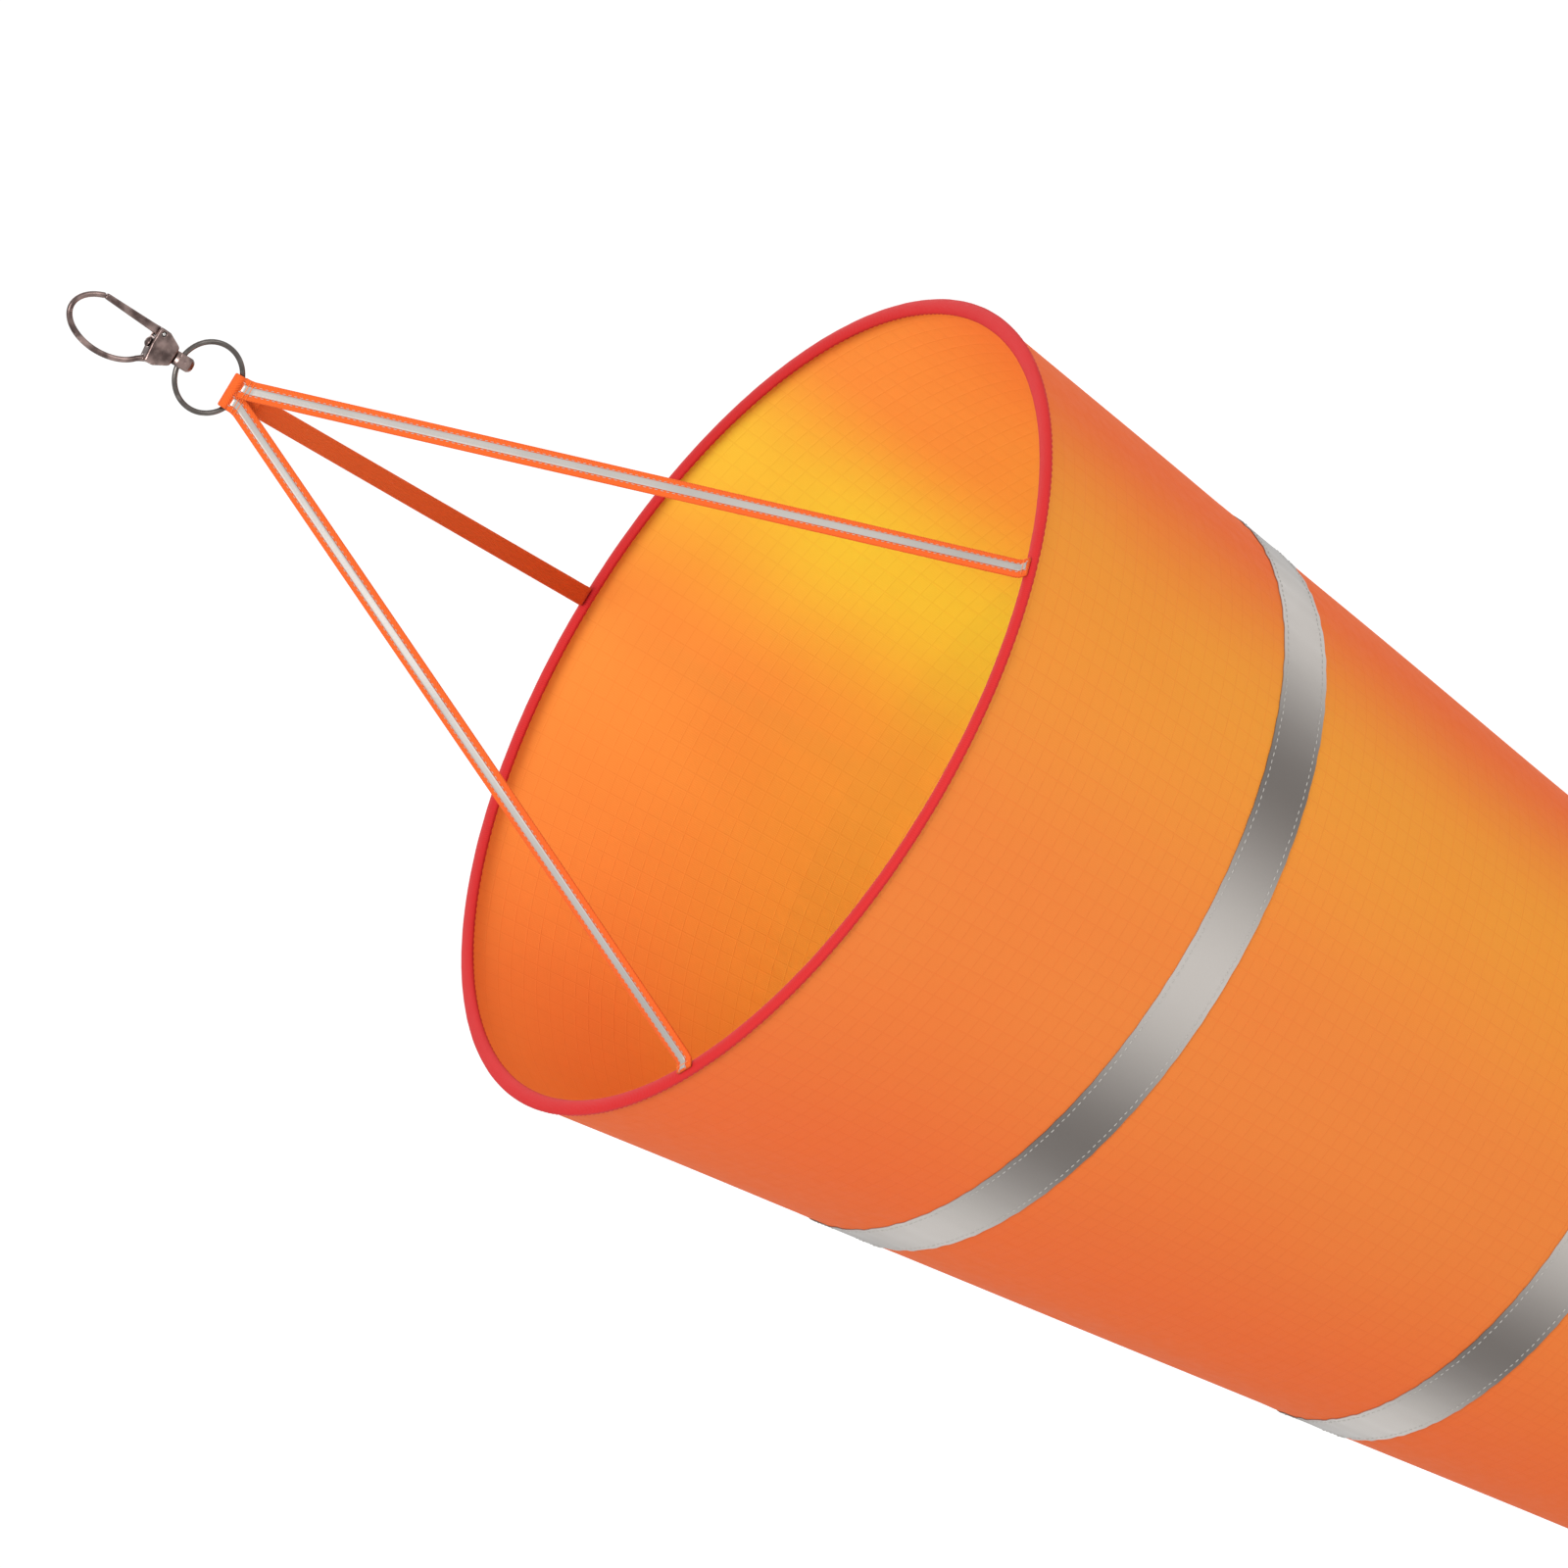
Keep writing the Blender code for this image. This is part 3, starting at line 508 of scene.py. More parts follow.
def thread_finish(name, colour):
    thread = Finish(name)
    twist = thread.noise(2600.0, 2.0)
    base = thread.mix(thread.maths("MULTIPLY", twist, 0.5), colour, darker(colour, 0.6))
    thread.bump(twist, 0.03 * MM, 0.6)
    return thread.finish(base_color=base, roughness=0.6, specular_ior_level=0.2, sheen_weight=0.05)


def floor_finish():
    floor = Finish("studio_floor")
    cloud = floor.patches(2.0, (0.3, 0.0), (0.8, 0.3))
    base = floor.mix(cloud, (0.93, 0.93, 0.93), (0.90, 0.90, 0.90))
    white = (1.0, 1.0, 1.0)
    return floor.finish(base_color=base, roughness=0.95, emission_color=white, emission_strength=0.35)


FINISHES = {}


def make_finishes():
    c = setting("colours")
    ring_dark, ring_worn = (0.05, 0.044, 0.04), (0.30, 0.27, 0.25)
    FINISHES["outside"] = outside_cloth()
    FINISHES["inside"] = inside_cloth()
    FINISHES["webbing"] = webbing_finish("orange_webbing", c.webbing)
    # The seam tape's plain colour is taken from the cloth's painted-shade colour.
    FINISHES["seam"] = webbing_finish("orange_seam_tape", darker(c.cloth_painted_shade, 0.95))
    FINISHES["band"] = tape_finish("reflective_band_tape", True)
    FINISHES["stripe"] = tape_finish("reflective_stripe_tape", False)
    FINISHES["binding"] = binding_finish()
    FINISHES["hook"] = burnished_metal("burnished_hook_metal", c.metal_dark, c.metal_worn_and_highlight, 0.55, 0.26, 0.42)
    FINISHES["ring"] = burnished_metal("blackened_ring_wire", ring_dark, ring_worn, 0.30, 0.24, 0.40)
    FINISHES["steel"] = plain_steel()
    FINISHES["hoop"] = hoop_plastic()
    FINISHES["orange_thread"] = thread_finish("orange_sewing_thread", (0.90, 0.22, 0.04))
    FINISHES["red_thread"] = thread_finish("red_sewing_thread", (0.62, 0.02, 0.02))
    FINISHES["grey_thread"] = thread_finish("grey_sewing_thread", (0.42, 0.40, 0.37))
    FINISHES["floor"] = floor_finish()


# ------------------------------------------------------------ mesh helpers


def new_piece(name, mesh, *finishes):
    """An object at the origin, with its finishes in order."""
    piece = bpy.data.objects.new(name, mesh)
    LOOKS.objects.link(piece)
    for finish in finishes:
        mesh.materials.append(FINISHES[finish])
    return piece


def mesh_of(name, verts, faces, maps=None, indices=None, turn_width=0.0):
    """A smooth mesh that keeps its rest places, with a UV map where maps has a spot for each point.

    Where turn_width is given, the map runs that far right round the piece before it starts again.
    """
    mesh = bpy.data.meshes.new(name)
    mesh.from_pydata(verts, [], faces)
    rest = mesh.attributes.new("rest", "FLOAT_VECTOR", "POINT")
    rest.data.foreach_set("vector", np.asarray(verts, dtype=np.float32).ravel())
    if maps is not None:
        layer = mesh.uv_layers.new(name="weave")
        corners = np.empty(len(mesh.loops), dtype=np.int32)
        mesh.loops.foreach_get("vertex_index", corners)
        spots = np.asarray(maps, dtype=np.float32)[corners]
        if turn_width:
            across = spots.reshape(-1, 4, 2)[:, :, 0]
            split = np.ptp(across, axis=1) > turn_width / 2
            across[split] += np.where(across[split] < turn_width / 2, turn_width, 0.0)
        layer.data.foreach_set("uv", spots.ravel())
    if indices is not None:
        mesh.polygons.foreach_set("material_index", indices)
    mesh.shade_smooth()
    mesh.update()
    return mesh


def point_out(mesh, merge=0.0):
    """Turns every face outwards, once points nearer than merge are made one."""
    work = bmesh.new()
    work.from_mesh(mesh)
    if merge:
        bmesh.ops.remove_doubles(work, verts=work.verts, dist=merge)
    bmesh.ops.recalc_face_normals(work, faces=work.faces)
    work.to_mesh(mesh)
    work.free()


def applied(piece):
    """Turns an object with modifiers into a plain mesh object."""
    bpy.context.view_layer.update()
    shown = piece.evaluated_get(bpy.context.evaluated_depsgraph_get())
    mesh = bpy.data.meshes.new_from_object(shown)
    piece.modifiers.clear()
    piece.data = mesh
    return piece


# ------------------------------------------------------------ the sock's surface


def cloth_radius(z):
    c = setting("cloth")
    share = (MOUTH_Z - z) / (MOUTH_Z - TAIL_Z)
    return c.mouth_radius + (c.tail_radius - c.mouth_radius) * share


def sewn_lines():
    """The levels where a sewn line holds the cloth round."""
    lines = [MOUTH_Z, TAIL_Z + HEM_HEIGHT]
    for z in DROOP_Z:
        lines += [z, z + BAND_WIDTH]
    return np.array(lines)


def round_way(azimuth):
    """The level direction at each azimuth."""
    return np.stack([np.cos(azimuth), np.sin(azimuth), 0 * azimuth], axis=-1)


# Strength, number round the sock, start and twist down the sock of each run of folds.
FOLDS = ((0.45, 5, 1.3, 6.0), (0.35, 8, -0.7, -4.0), (0.28, 13, 2.1, 9.0), (0.18, 21, 0.4, -11.0))
SPAN_COLUMNS = 6
HELD_REACH = 34 * MM
PUCKER_REACH = 7 * MM


def surface(azimuth, z, lift):
    """Points on the cloth's outer face, raised by lift, with its soft folds and puckers."""
    c = setting("cloth")
    azimuth, z = np.broadcast_arrays(np.asarray(azimuth, float), np.asarray(z, float))
    distance = np.min(np.abs(z[..., None] - sewn_lines()), axis=-1)
    free = 1.0 - np.exp(-((distance / HELD_REACH) ** 2))
    depth = (MOUTH_Z - z) / (MOUTH_Z - TAIL_Z)
    folds = sum(s * np.sin(n * azimuth + start + twist * depth) for s, n, start, twist in FOLDS)
    wide = free * (0.45 + 0.75 * depth) * c.ripple * folds
    near = np.exp(-((distance / PUCKER_REACH) ** 2))
    ruffle = np.sin(71 * azimuth + 1.1) + 0.6 * np.sin(113 * azimuth + 40.0 * depth)
    radius = cloth_radius(z) + wide + c.pucker * near * ruffle * 0.6 + lift
    return np.stack([radius * np.cos(azimuth), radius * np.sin(azimuth), z], axis=-1)


def wall(name, top_z, foot_z, inner, outer, azimuths=None, finishes=("outside", "inside")):
    """A closed wall that follows the cloth between two lifts, right round or over a span."""
    c = setting("cloth")
    whole = azimuths is None
    columns = c.columns if whole else SPAN_COLUMNS
    if whole:
        turn = SEAM_AZIMUTH + np.arange(columns) * 2 * math.pi / columns
    else:
        turn = np.linspace(*azimuths, columns)
    rows = max(2, round((top_z - foot_z) / c.row_height)) + 1
    levels = np.linspace(top_z, foot_z, rows)
    grid_turn, grid_z = np.meshgrid(turn, levels)
    count = columns * rows
    shells = [surface(grid_turn, grid_z, lift).reshape(-1, 3) for lift in (outer, inner)]
    map_radius = cloth_radius((MOUTH_Z + TAIL_Z) / 2)
    width = (grid_turn - turn[0]) * map_radius
    maps = np.stack([width, MOUTH_Z - grid_z], axis=-1).reshape(-1, 2)
    faces, indices = [], []
    spans = columns if whole else columns - 1
    for row in range(rows - 1):
        for column in range(spans):
            a = row * columns + column
            b = row * columns + (column + 1) % columns
            faces.append((a, a + columns, b + columns, b))
            faces.append((count + a, count + b, count + b + columns, count + a + columns))
            indices += [0, 1]
    for column in range(spans):
        after = (column + 1) % columns
        faces.append((column, after, count + after, count + column))
        low, low_after = (rows - 1) * columns + column, (rows - 1) * columns + after
        faces.append((low_after, low, count + low, count + low_after))
        indices += [0, 0]
    if not whole:
        for row in range(rows - 1):
            a, b = row * columns, row * columns + columns - 1
            faces.append((a + columns, a, count + a, count + a + columns))
            faces.append((b, b + columns, count + b + columns, count + b))
            indices += [0, 0]
    if len(finishes) == 1:
        indices = [0] * len(faces)
    turn_width = 2 * math.pi * map_radius if whole else 0.0
    verts, maps = np.concatenate(shells).tolist(), np.concatenate([maps, maps])
    mesh = mesh_of(name, verts, faces, maps, indices, turn_width)
    mesh.set_sharp_from_angle(angle=math.radians(50.0))
    return new_piece(name, mesh, *finishes)


def bend_over(piece, section):
    """Joins the front panel's piece to its body; a later panel's piece only has its place baked into its
    mesh.
    """
    if section == 0:
        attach(piece, BODIES[0])
        return
    z = DROOP_Z[section - 1]
    start, end = (0.0, 0.0, z), (0.0, 0.0, z - setting("cloth").bend_length)
    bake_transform(piece)


def make_cloth(section):
    """One panel of the sock, from under the band above to under its own band."""
    c = setting("cloth")
    first, last = section == 0, section == 3
    top_z = MOUTH_Z - 0.9 * MM if first else DROOP_Z[section - 1] + c.joint_cover
    foot_z = TAIL_Z if last else DROOP_Z[section] + c.joint_cover
    piece = wall(f"cloth_{SECTIONS[section]}", top_z, foot_z, -c.thickness, 0.0)
    bend_over(piece, section)
    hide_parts(f"sock_panel_{SECTIONS[section]}")
    top_round, foot_round = (2 * math.pi * cloth_radius(z) for z in (top_z, foot_z))


def make_band(section):
    """A band of reflective tape round the foot of a panel."""
    ply, foot_z = setting("cloth").ply_gap, DROOP_Z[section]
    lifts = (ply, ply + setting("trim").band_thickness)
    name = f"band_tape_{section + 1}"
    piece = wall(name, foot_z + BAND_WIDTH, foot_z, *lifts, finishes=("band",))
    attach(piece, BODIES[section])
    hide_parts(f"reflective_band_{section + 1}")


SEAM_LIFT = 0.55 * MM


def seam_span(section):
    """The seam tape's ends, just clear of the binding, the bands and the tail's edge."""
    first, last = section == 0, section == 3
    top_z = MOUTH_Z - BINDING_HALF_HEIGHT - 0.4 * MM if first else DROOP_Z[section - 1] - 0.3 * MM
    foot_z = TAIL_Z + 0.2 * MM if last else DROOP_Z[section] + BAND_WIDTH + 0.3 * MM
    return top_z, foot_z


def make_seam(section):
    """The tape over the side seam of one panel."""
    t = setting("trim")
    top_z, foot_z = seam_span(section)
    reach = t.seam_width / 2 / cloth_radius((top_z + foot_z) / 2)
    azimuths = (SEAM_AZIMUTH - reach, SEAM_AZIMUTH + reach)
    name = f"seam_tape_{SECTIONS[section]}"
    piece = wall(name, top_z, foot_z, 0.08 * MM, SEAM_LIFT, azimuths, finishes=("seam",))
    bend_over(piece, section)
    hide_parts(f"side_seam_{SECTIONS[section]}")


def make_hem():
    """The cloth turned up inside the tail."""
    c = setting("cloth")
    outer = -c.thickness - 0.08 * MM
    inner = outer - c.thickness
    piece = wall("hem_fold", TAIL_Z + HEM_HEIGHT, TAIL_Z, inner, outer, finishes=("inside",))
    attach(piece, "sock_tail")
    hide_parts("tail_hem")
    return piece


# ------------------------------------------------------------ swept pieces


def rounded_line(corners, cut):
    """A line through corners with each inner corner cut back and rounded."""
    corners = [Vector(corner) for corner in corners]
    line = [corners[0]]
    for before, corner, after in zip(corners, corners[1:], corners[2:]):
        reach = min(cut, (corner - before).length * 0.45, (after - corner).length * 0.45)
        first = corner + (before - corner).normalized() * reach
        second = corner + (after - corner).normalized() * reach
        for step in range(7):
            share = step / 6
            low, high = first.lerp(corner, share), corner.lerp(second, share)
            line.append(low.lerp(high, share))
    line.append(corners[-1])
    return line


def even_line(line, spacing):
    """The same line with points at an even spacing."""
    places = np.array([tuple(p) for p in line])
    lengths = np.concatenate([[0.0], np.cumsum(np.linalg.norm(np.diff(places, axis=0), axis=1))])
    count = max(3, round(lengths[-1] / spacing) + 1)
    marks = np.linspace(0.0, lengths[-1], count)
    even = [np.interp(marks, lengths, places[:, axis]) for axis in range(3)]
    return np.stack(even, axis=1), marks


def strip_section(width, thickness, round_share=0.8):
    """The outline of a flat strip with rounded edges, as (across, up) points."""
    edge = thickness / 2 * round_share
    outline = []
    for side, start in ((1, -90), (-1, 90)):
        for step in range(5):
            angle = math.radians(start + 45 * step)
            x = side * (width / 2 - edge) + edge * math.cos(angle)
            y = edge * math.sin(angle) / round_share
            outline.append((x, y))
        for share in (0.25, 0.5, 0.75):
            x = side * (width / 2 - edge) * (1 - 2 * share)
            outline.append((x, side * thickness / 2))
    return outline


def ring_faces(rings, count):
    """Faces between rings of points that each close on themselves."""
    faces = []
    for first in range(0, (rings - 1) * count, count):
        for i in range(count):
            a, b = first + i, first + (i + 1) % count
            faces.append((a, b, b + count, a + count))
    return faces


def sweep(name, places, marks, across, up, outline, finish):
    """A strip along places, whose section lies on the across and up directions."""
    outline = np.array(outline)
    count = len(outline)
    sideways = outline[None, :, :1] * across[:, None]
    rings = places[:, None] + sideways + outline[None, :, 1:] * up[:, None]
    maps = np.stack(np.broadcast_arrays(outline[None, :, 0], marks[:, None]), axis=-1)
    last = (len(places) - 1) * count
    faces = ring_faces(len(places), count)
    faces += [tuple(range(count)), tuple(reversed(range(last, last + count)))]
    mesh = mesh_of(name, rings.reshape(-1, 3).tolist(), faces, maps.reshape(-1, 2))
    point_out(mesh)
    return new_piece(name, mesh, finish)


def strap_frame(letter):
    """Places down a strap's middle, with its directions across and out."""
    t = setting("trim")
    azimuth = math.radians(STRAP_AZIMUTHS[letter])
    outward = Vector((math.cos(azimuth), math.sin(azimuth), 0.0))
    turn = azimuth - math.pi / 2
    if math.cos(turn) < 0:
        turn += math.pi
    turn = math.remainder(turn, 2 * math.pi)
    layer = t.webbing_thickness + WEBBING_GAP
    front = RING_WIRE + WEBBING_GAP + t.webbing_thickness / 2
    side = 2.8 * MM
    place = {"a": (side, -front - 2 * layer), "b": (-side, -front - layer), "c": (0.0, 0.0)}[letter]
    if letter == "c":
        start_z, bend_z = RING_FOOT_Z - WEBBING_GAP, TAB_FOOT_Z - 1.0 * MM
    else:
        start_z = RING_FOOT_Z + 3.0 * MM
        bend_z = start_z - 2.5 * MM
    pad_z = MOUTH_Z + BINDING_HALF_HEIGHT + 0.15 * MM + t.webbing_thickness / 2
    foot = outward * (BINDING_RADIUS - 2.1 * MM)
    end = outward * (BINDING_RADIUS + 1.3 * MM)
    corners = [(*place, start_z), (*place, bend_z), (foot.x, foot.y, pad_z), (end.x, end.y, pad_z)]
    places, marks = even_line(rounded_line(corners, 2.2 * MM), 1.6 * MM)
    drop = (places[0, 2] - places[:, 2]) / (places[0, 2] - places[-1, 2])
    across = round_way(np.clip(drop, 0.0, 1.0) * turn)
    up = np.cross(across, np.gradient(places, axis=0))
    up /= np.linalg.norm(up, axis=1)[:, None]
    facing = up @ np.array(outward) + 0.6 * up[:, 2]
    up *= np.where(facing < 0, -1.0, 1.0)[:, None]
    return places, marks, across, up


# The stripe on the hidden strap starts this many places down, clear of the tab.
STRIPE_START = {"a": 0, "b": 0, "c": 5}


def make_strap(letter):
    """A bridle strap and the reflective stripe on its outer face."""
    t = setting("trim")
    places, marks, across, up = strap_frame(letter)
    outline = strip_section(t.webbing_width, t.webbing_thickness)
    strap = sweep(f"strap_webbing_{letter}", places, marks, across, up, outline, "webbing")
    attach(strap, "sock_front")
    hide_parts(f"bridle_strap_{letter}")
    first = STRIPE_START[letter]
    lift = t.webbing_thickness / 2 + 0.03 * MM + t.stripe_thickness / 2
    raised = (places + up * lift)[first:]
    outline = strip_section(t.stripe_width, t.stripe_thickness)
    name = f"stripe_tape_{letter}"
    stripe = sweep(name, raised, marks[first:], across[first:], up[first:], outline, "stripe")
    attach(stripe, "sock_front")
    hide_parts(f"strap_stripe_{letter}")


def make_tab():
    """The fold of webbing over the ring's lowest wire."""
    t = setting("trim")
    middle = RING_WIRE + WEBBING_GAP + t.webbing_thickness / 2
    arch_z = RING_Z - math.sqrt(RING_RADIUS**2 - TAB_HALF_WIDTH**2)
    line = [Vector((0.0, -middle, TAB_FOOT_Z))]
    for step in range(17):
        angle = math.pi * (1 - step / 16)
        line.append(Vector((0.0, middle * math.cos(angle), arch_z + middle * math.sin(angle))))
    line.append(Vector((0.0, middle, TAB_FOOT_Z)))
    places, marks = even_line(line, 0.4 * MM)
    across = np.tile([1.0, 0.0, 0.0], (len(places), 1))
    up = np.cross(across, np.gradient(places, axis=0))
    up /= np.linalg.norm(up, axis=1)[:, None]
    outline = strip_section(2 * TAB_HALF_WIDTH, t.webbing_thickness)
    tab = sweep("tab_webbing", places, marks, across, up, outline, "webbing")
    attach(tab, "sock_front")
    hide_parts("bridle_tab")


# ------------------------------------------------------------ metal


def turned_mesh(name, profile, steps):
    """A closed turned solid about the Z axis, from a profile that starts and ends on it."""
    verts, faces = [(0.0, 0.0, profile[0][1])], []
    for radius, z in profile[1:-1]:
        for step in range(steps):
            angle = 2 * math.pi * step / steps
            verts.append((radius * math.cos(angle), radius * math.sin(angle), z))
    verts.append((0.0, 0.0, profile[-1][1]))
    rings = len(profile) - 2
    for step in range(steps):
        after = (step + 1) % steps
        faces.append((0, 1 + step, 1 + after))
        last = 1 + (rings - 1) * steps
        faces.append((len(verts) - 1, last + after, last + step))
        for ring in range(rings - 1):
            a, b = 1 + ring * steps + step, 1 + ring * steps + after
            faces.append((a, a + steps, b + steps, b))
    mesh = mesh_of(name, verts, faces)
    point_out(mesh)
    return mesh


def rounded_profile(profile, cut):
    """A turned profile whose corners are rounded."""
    corners = [(radius, 0.0, z) for radius, z in profile]
    return [(max(p.x, 0.0), p.z) for p in rounded_line(corners, cut)]


def plate(name, outline, thickness, bevel):
    """A closed plate in the XZ plane, centred on y = 0, with rounded edges."""
    count = len(outline)
    verts = [(x, side * thickness / 2, z) for side in (-1, 1) for x, z in outline]
    faces = [tuple(range(count)), tuple(reversed(range(count, 2 * count)))]
    faces += [(i, (i + 1) % count, count + (i + 1) % count, count + i) for i in range(count)]
    mesh = mesh_of(name, verts, faces)
    point_out(mesh)
    work = bmesh.new()
    work.from_mesh(mesh)
    rim = [edge for edge in work.edges if edge.calc_face_angle(0.0) > 0.7]
    bmesh.ops.bevel(work, geom=rim, offset=bevel, segments=3, profile=0.5, affect="EDGES")
    work.to_mesh(mesh)
    work.free()
    return mesh


def wire(name, points, radii, sides=24):
    """A round wire with domed ends along points in the XZ plane, thicker where the radius is."""
    places = np.array(points)
    way = np.gradient(places, axis=0)
    way /= np.linalg.norm(way, axis=1)[:, None]
    side = np.tile([0.0, 1.0, 0.0], (len(places), 1))
    up = np.cross(way, side)
    angles = np.arange(sides) * 2 * math.pi / sides
    ring = np.cos(angles)[:, None, None] * side + np.sin(angles)[:, None, None] * up
    rings = places[:, None] + ring.transpose(1, 0, 2) * np.asarray(radii)[:, None, None]
    verts = rings.reshape(-1, 3).tolist()
    faces = ring_faces(len(places), sides)
    for end, inward in ((0, -1), (len(places) - 1, 1)):
        verts.append(tuple(places[end] + way[end] * inward * radii[end] * 0.35))
        for j in range(sides):
            faces.append((end * sides + j, end * sides + (j + 1) % sides, len(verts) - 1))
    mesh = mesh_of(name, verts, faces)
    point_out(mesh)
    return mesh


def cutter(kind, size, location, turn=(0.0, 0.0, 0.0)):
    """A cylinder or a box that is cut away, and removed once it has been."""
    if kind == "round":
        radius, depth = size
        bpy.ops.mesh.primitive_cylinder_add(
            vertices=48, radius=radius, depth=depth, location=location, rotation=turn
        )
    else:
        bpy.ops.mesh.primitive_cube_add(size=1.0, location=location)
        bpy.context.active_object.scale = size
    return bpy.context.active_object


def add_melt(piece, grain):
    """Remakes the piece's surface as one, at an even grain."""
    melt = piece.modifiers.new("Melt", "REMESH")
    melt.mode = "VOXEL"
    melt.voxel_size = grain
    melt.use_smooth_shade = True


def cast(name, meshes, cuts, grain, smoothing):
    """Melts closed meshes into one, cuts it, and gives it the soft edges of a casting."""
    work = bmesh.new()
    for mesh in meshes:
        work.from_mesh(mesh)
    joined = bpy.data.meshes.new(name)
    work.to_mesh(joined)
    work.free()
    piece = new_piece(name, joined)
    add_melt(piece, grain)
    for operation, cut in cuts:
        boolean = piece.modifiers.new("Cut", "BOOLEAN")
        boolean.operation = operation
        boolean.object = cut
    add_melt(piece, grain)
    smooth = piece.modifiers.new("Soften", "SMOOTH")
    smooth.factor = 0.5
    smooth.iterations = smoothing
    applied(piece)
    for _, cut in cuts:
        bpy.data.objects.remove(cut, do_unlink=True)
    piece.data.materials.clear()
    piece.data.materials.append(FINISHES["hook"])
    piece.data.shade_smooth()
    return piece


ALONG_X = (0.0, math.pi / 2, 0.0)
ALONG_Y = (math.pi / 2, 0.0, 0.0)
HOOK_WIRE = 1.0 * MM
BOW_HALF_WIDTH = 8.8 * MM
BOW_HALF_HEIGHT = 15.5 * MM
BOLSTER_TOP_Z = 2 * (HOOK_WIRE - BOW_HALF_HEIGHT)
BOLSTER_HALF_WIDTH = 6.2 * MM
BOLSTER_FOOT_HALF_WIDTH = 3.4 * MM
STUD_BORE = 1.5 * MM
PIN_BORE = 0.9 * MM
SLOT_HALF_WIDTH = 1.4 * MM
GATE_THICKNESS = 2.2 * MM
GATE_ROOT_RADIUS = 1.5 * MM
GATE_TIP_RADIUS = 1.05 * MM
RIVET_RADIUS = 0.6 * MM
SPRING_THICKNESS = 0.25 * MM


def bow_point(angle):
    """A point on the ellipse of the bow's wire."""
    angle = math.radians(angle)
    x = HOOK_LOW[0] + HOOK_WIRE + BOW_HALF_WIDTH + BOW_HALF_WIDTH * math.cos(angle)
    return (x, 0.0, HOOK_WIRE - BOW_HALF_HEIGHT + BOW_HALF_HEIGHT * math.sin(angle))


def make_hook_body():
    """The bow and bolster, cast as one, with the stud's bore and the gate's slot."""
    angles = np.linspace(27.5, 240.0, 90)
    points = [bow_point(angle) for angle in angles]
    last, heel = Vector(points[-1]), Vector((-4.6 * MM, 0.0, BOLSTER_TOP_Z - 2.5 * MM))
    points += [tuple(last.lerp(heel, share)) for share in (0.25, 0.5, 0.75, 1.0)]
    thick = 0.97 + 0.10 * np.exp(-(((angles - 150.0) / 45.0) ** 2))
    radii = HOOK_WIRE * np.concatenate([thick, [1.0, 1.12, 1.3, 1.4]])
    bow = wire("bow", points, radii)
    half, foot = BOLSTER_HALF_WIDTH, BOLSTER_FOOT_HALF_WIDTH
    waist, waist_z, foot_z = half - 0.2 * MM, BOLSTER_TOP_Z - 4.2 * MM, HOOK_LOW[2]
    corners = [
        (-half, BOLSTER_TOP_Z - 0.7 * MM),
        (-waist, waist_z),
        (-foot, foot_z),
        (foot, foot_z),
        (waist, waist_z),
        (half, BOLSTER_TOP_Z),
        (0.0, BOLSTER_TOP_Z),
    ]
    bolster = plate("bolster", corners, HOOK_HIGH[1] - HOOK_LOW[1], 0.9 * MM)
    slot_low = Vector((2.2 * MM, -SLOT_HALF_WIDTH, GATE_Z - 2.0 * MM))
    slot_high = Vector((8 * MM, SLOT_HALF_WIDTH, BOLSTER_TOP_Z + 2.0 * MM))
    cuts = [
        ("DIFFERENCE", cutter("round", (STUD_BORE, 14 * MM), (0.0, 0.0, BOLSTER_TOP_Z - 4.0 * MM))),
        ("DIFFERENCE", cutter("box", slot_high - slot_low, (slot_high + slot_low) / 2)),
        ("DIFFERENCE", cutter("round", (PIN_BORE, 8 * MM), (GATE_X, 0.0, GATE_Z), ALONG_Y)),
    ]
    piece = cast("hook_casting", [bow, bolster], cuts, 0.16 * MM, 6)
    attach(piece, "hook")
    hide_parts("hook_body")


def capsule(start, start_radius, end, end_radius, steps=20):
    """The outline of a bar with two round ends."""
    lean = math.atan2(end[1] - start[1], end[0] - start[0])
    outline = []
    for (x, z), radius, first in ((start, start_radius, 90.0), (end, end_radius, 270.0)):
        for step in range(steps + 1):
            angle = lean + math.radians(first + 180.0 * step / steps)
            outline.append((x + radius * math.cos(angle), z + radius * math.sin(angle)))
    return outline


def make_gate():
    """The sprung bar and the riveted pin it turns on."""
    tip = (GATE_HIGH[0] - 1.1 * MM, GATE_HIGH[2] - GATE_TIP_RADIUS)
    outline = capsule((GATE_X, GATE_Z), GATE_ROOT_RADIUS, tip, GATE_TIP_RADIUS)
    bar = plate("gate", outline, GATE_THICKNESS, 0.5 * MM)
    bore = cutter("round", (PIN_BORE, 6 * MM), (GATE_X, 0.0, GATE_Z), ALONG_Y)
    piece = cast("gate_bar", [bar], [("DIFFERENCE", bore)], 0.12 * MM, 5)
    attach(piece, "gate")
    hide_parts("hook_gate")
    half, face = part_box("gate_pin")[1][1], RIVET_RADIUS - 0.15 * MM
    profile = [
        (0, half),
        (face, half),
        (RIVET_RADIUS, half - 0.2 * MM),
        (RIVET_RADIUS, 0.2 * MM - half),
        (face, -half),
        (0, -half),
    ]
    mesh = turned_mesh("rivet", rounded_profile(profile, 0.15 * MM), 32)
    for vertex in mesh.vertices:
        x, y, z = vertex.co
        vertex.co = (GATE_X + x, -z, GATE_Z + y)
    point_out(mesh)
    rivet = new_piece("gate_rivet", mesh, "steel")
    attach(rivet, "hook")
    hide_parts("gate_pin")


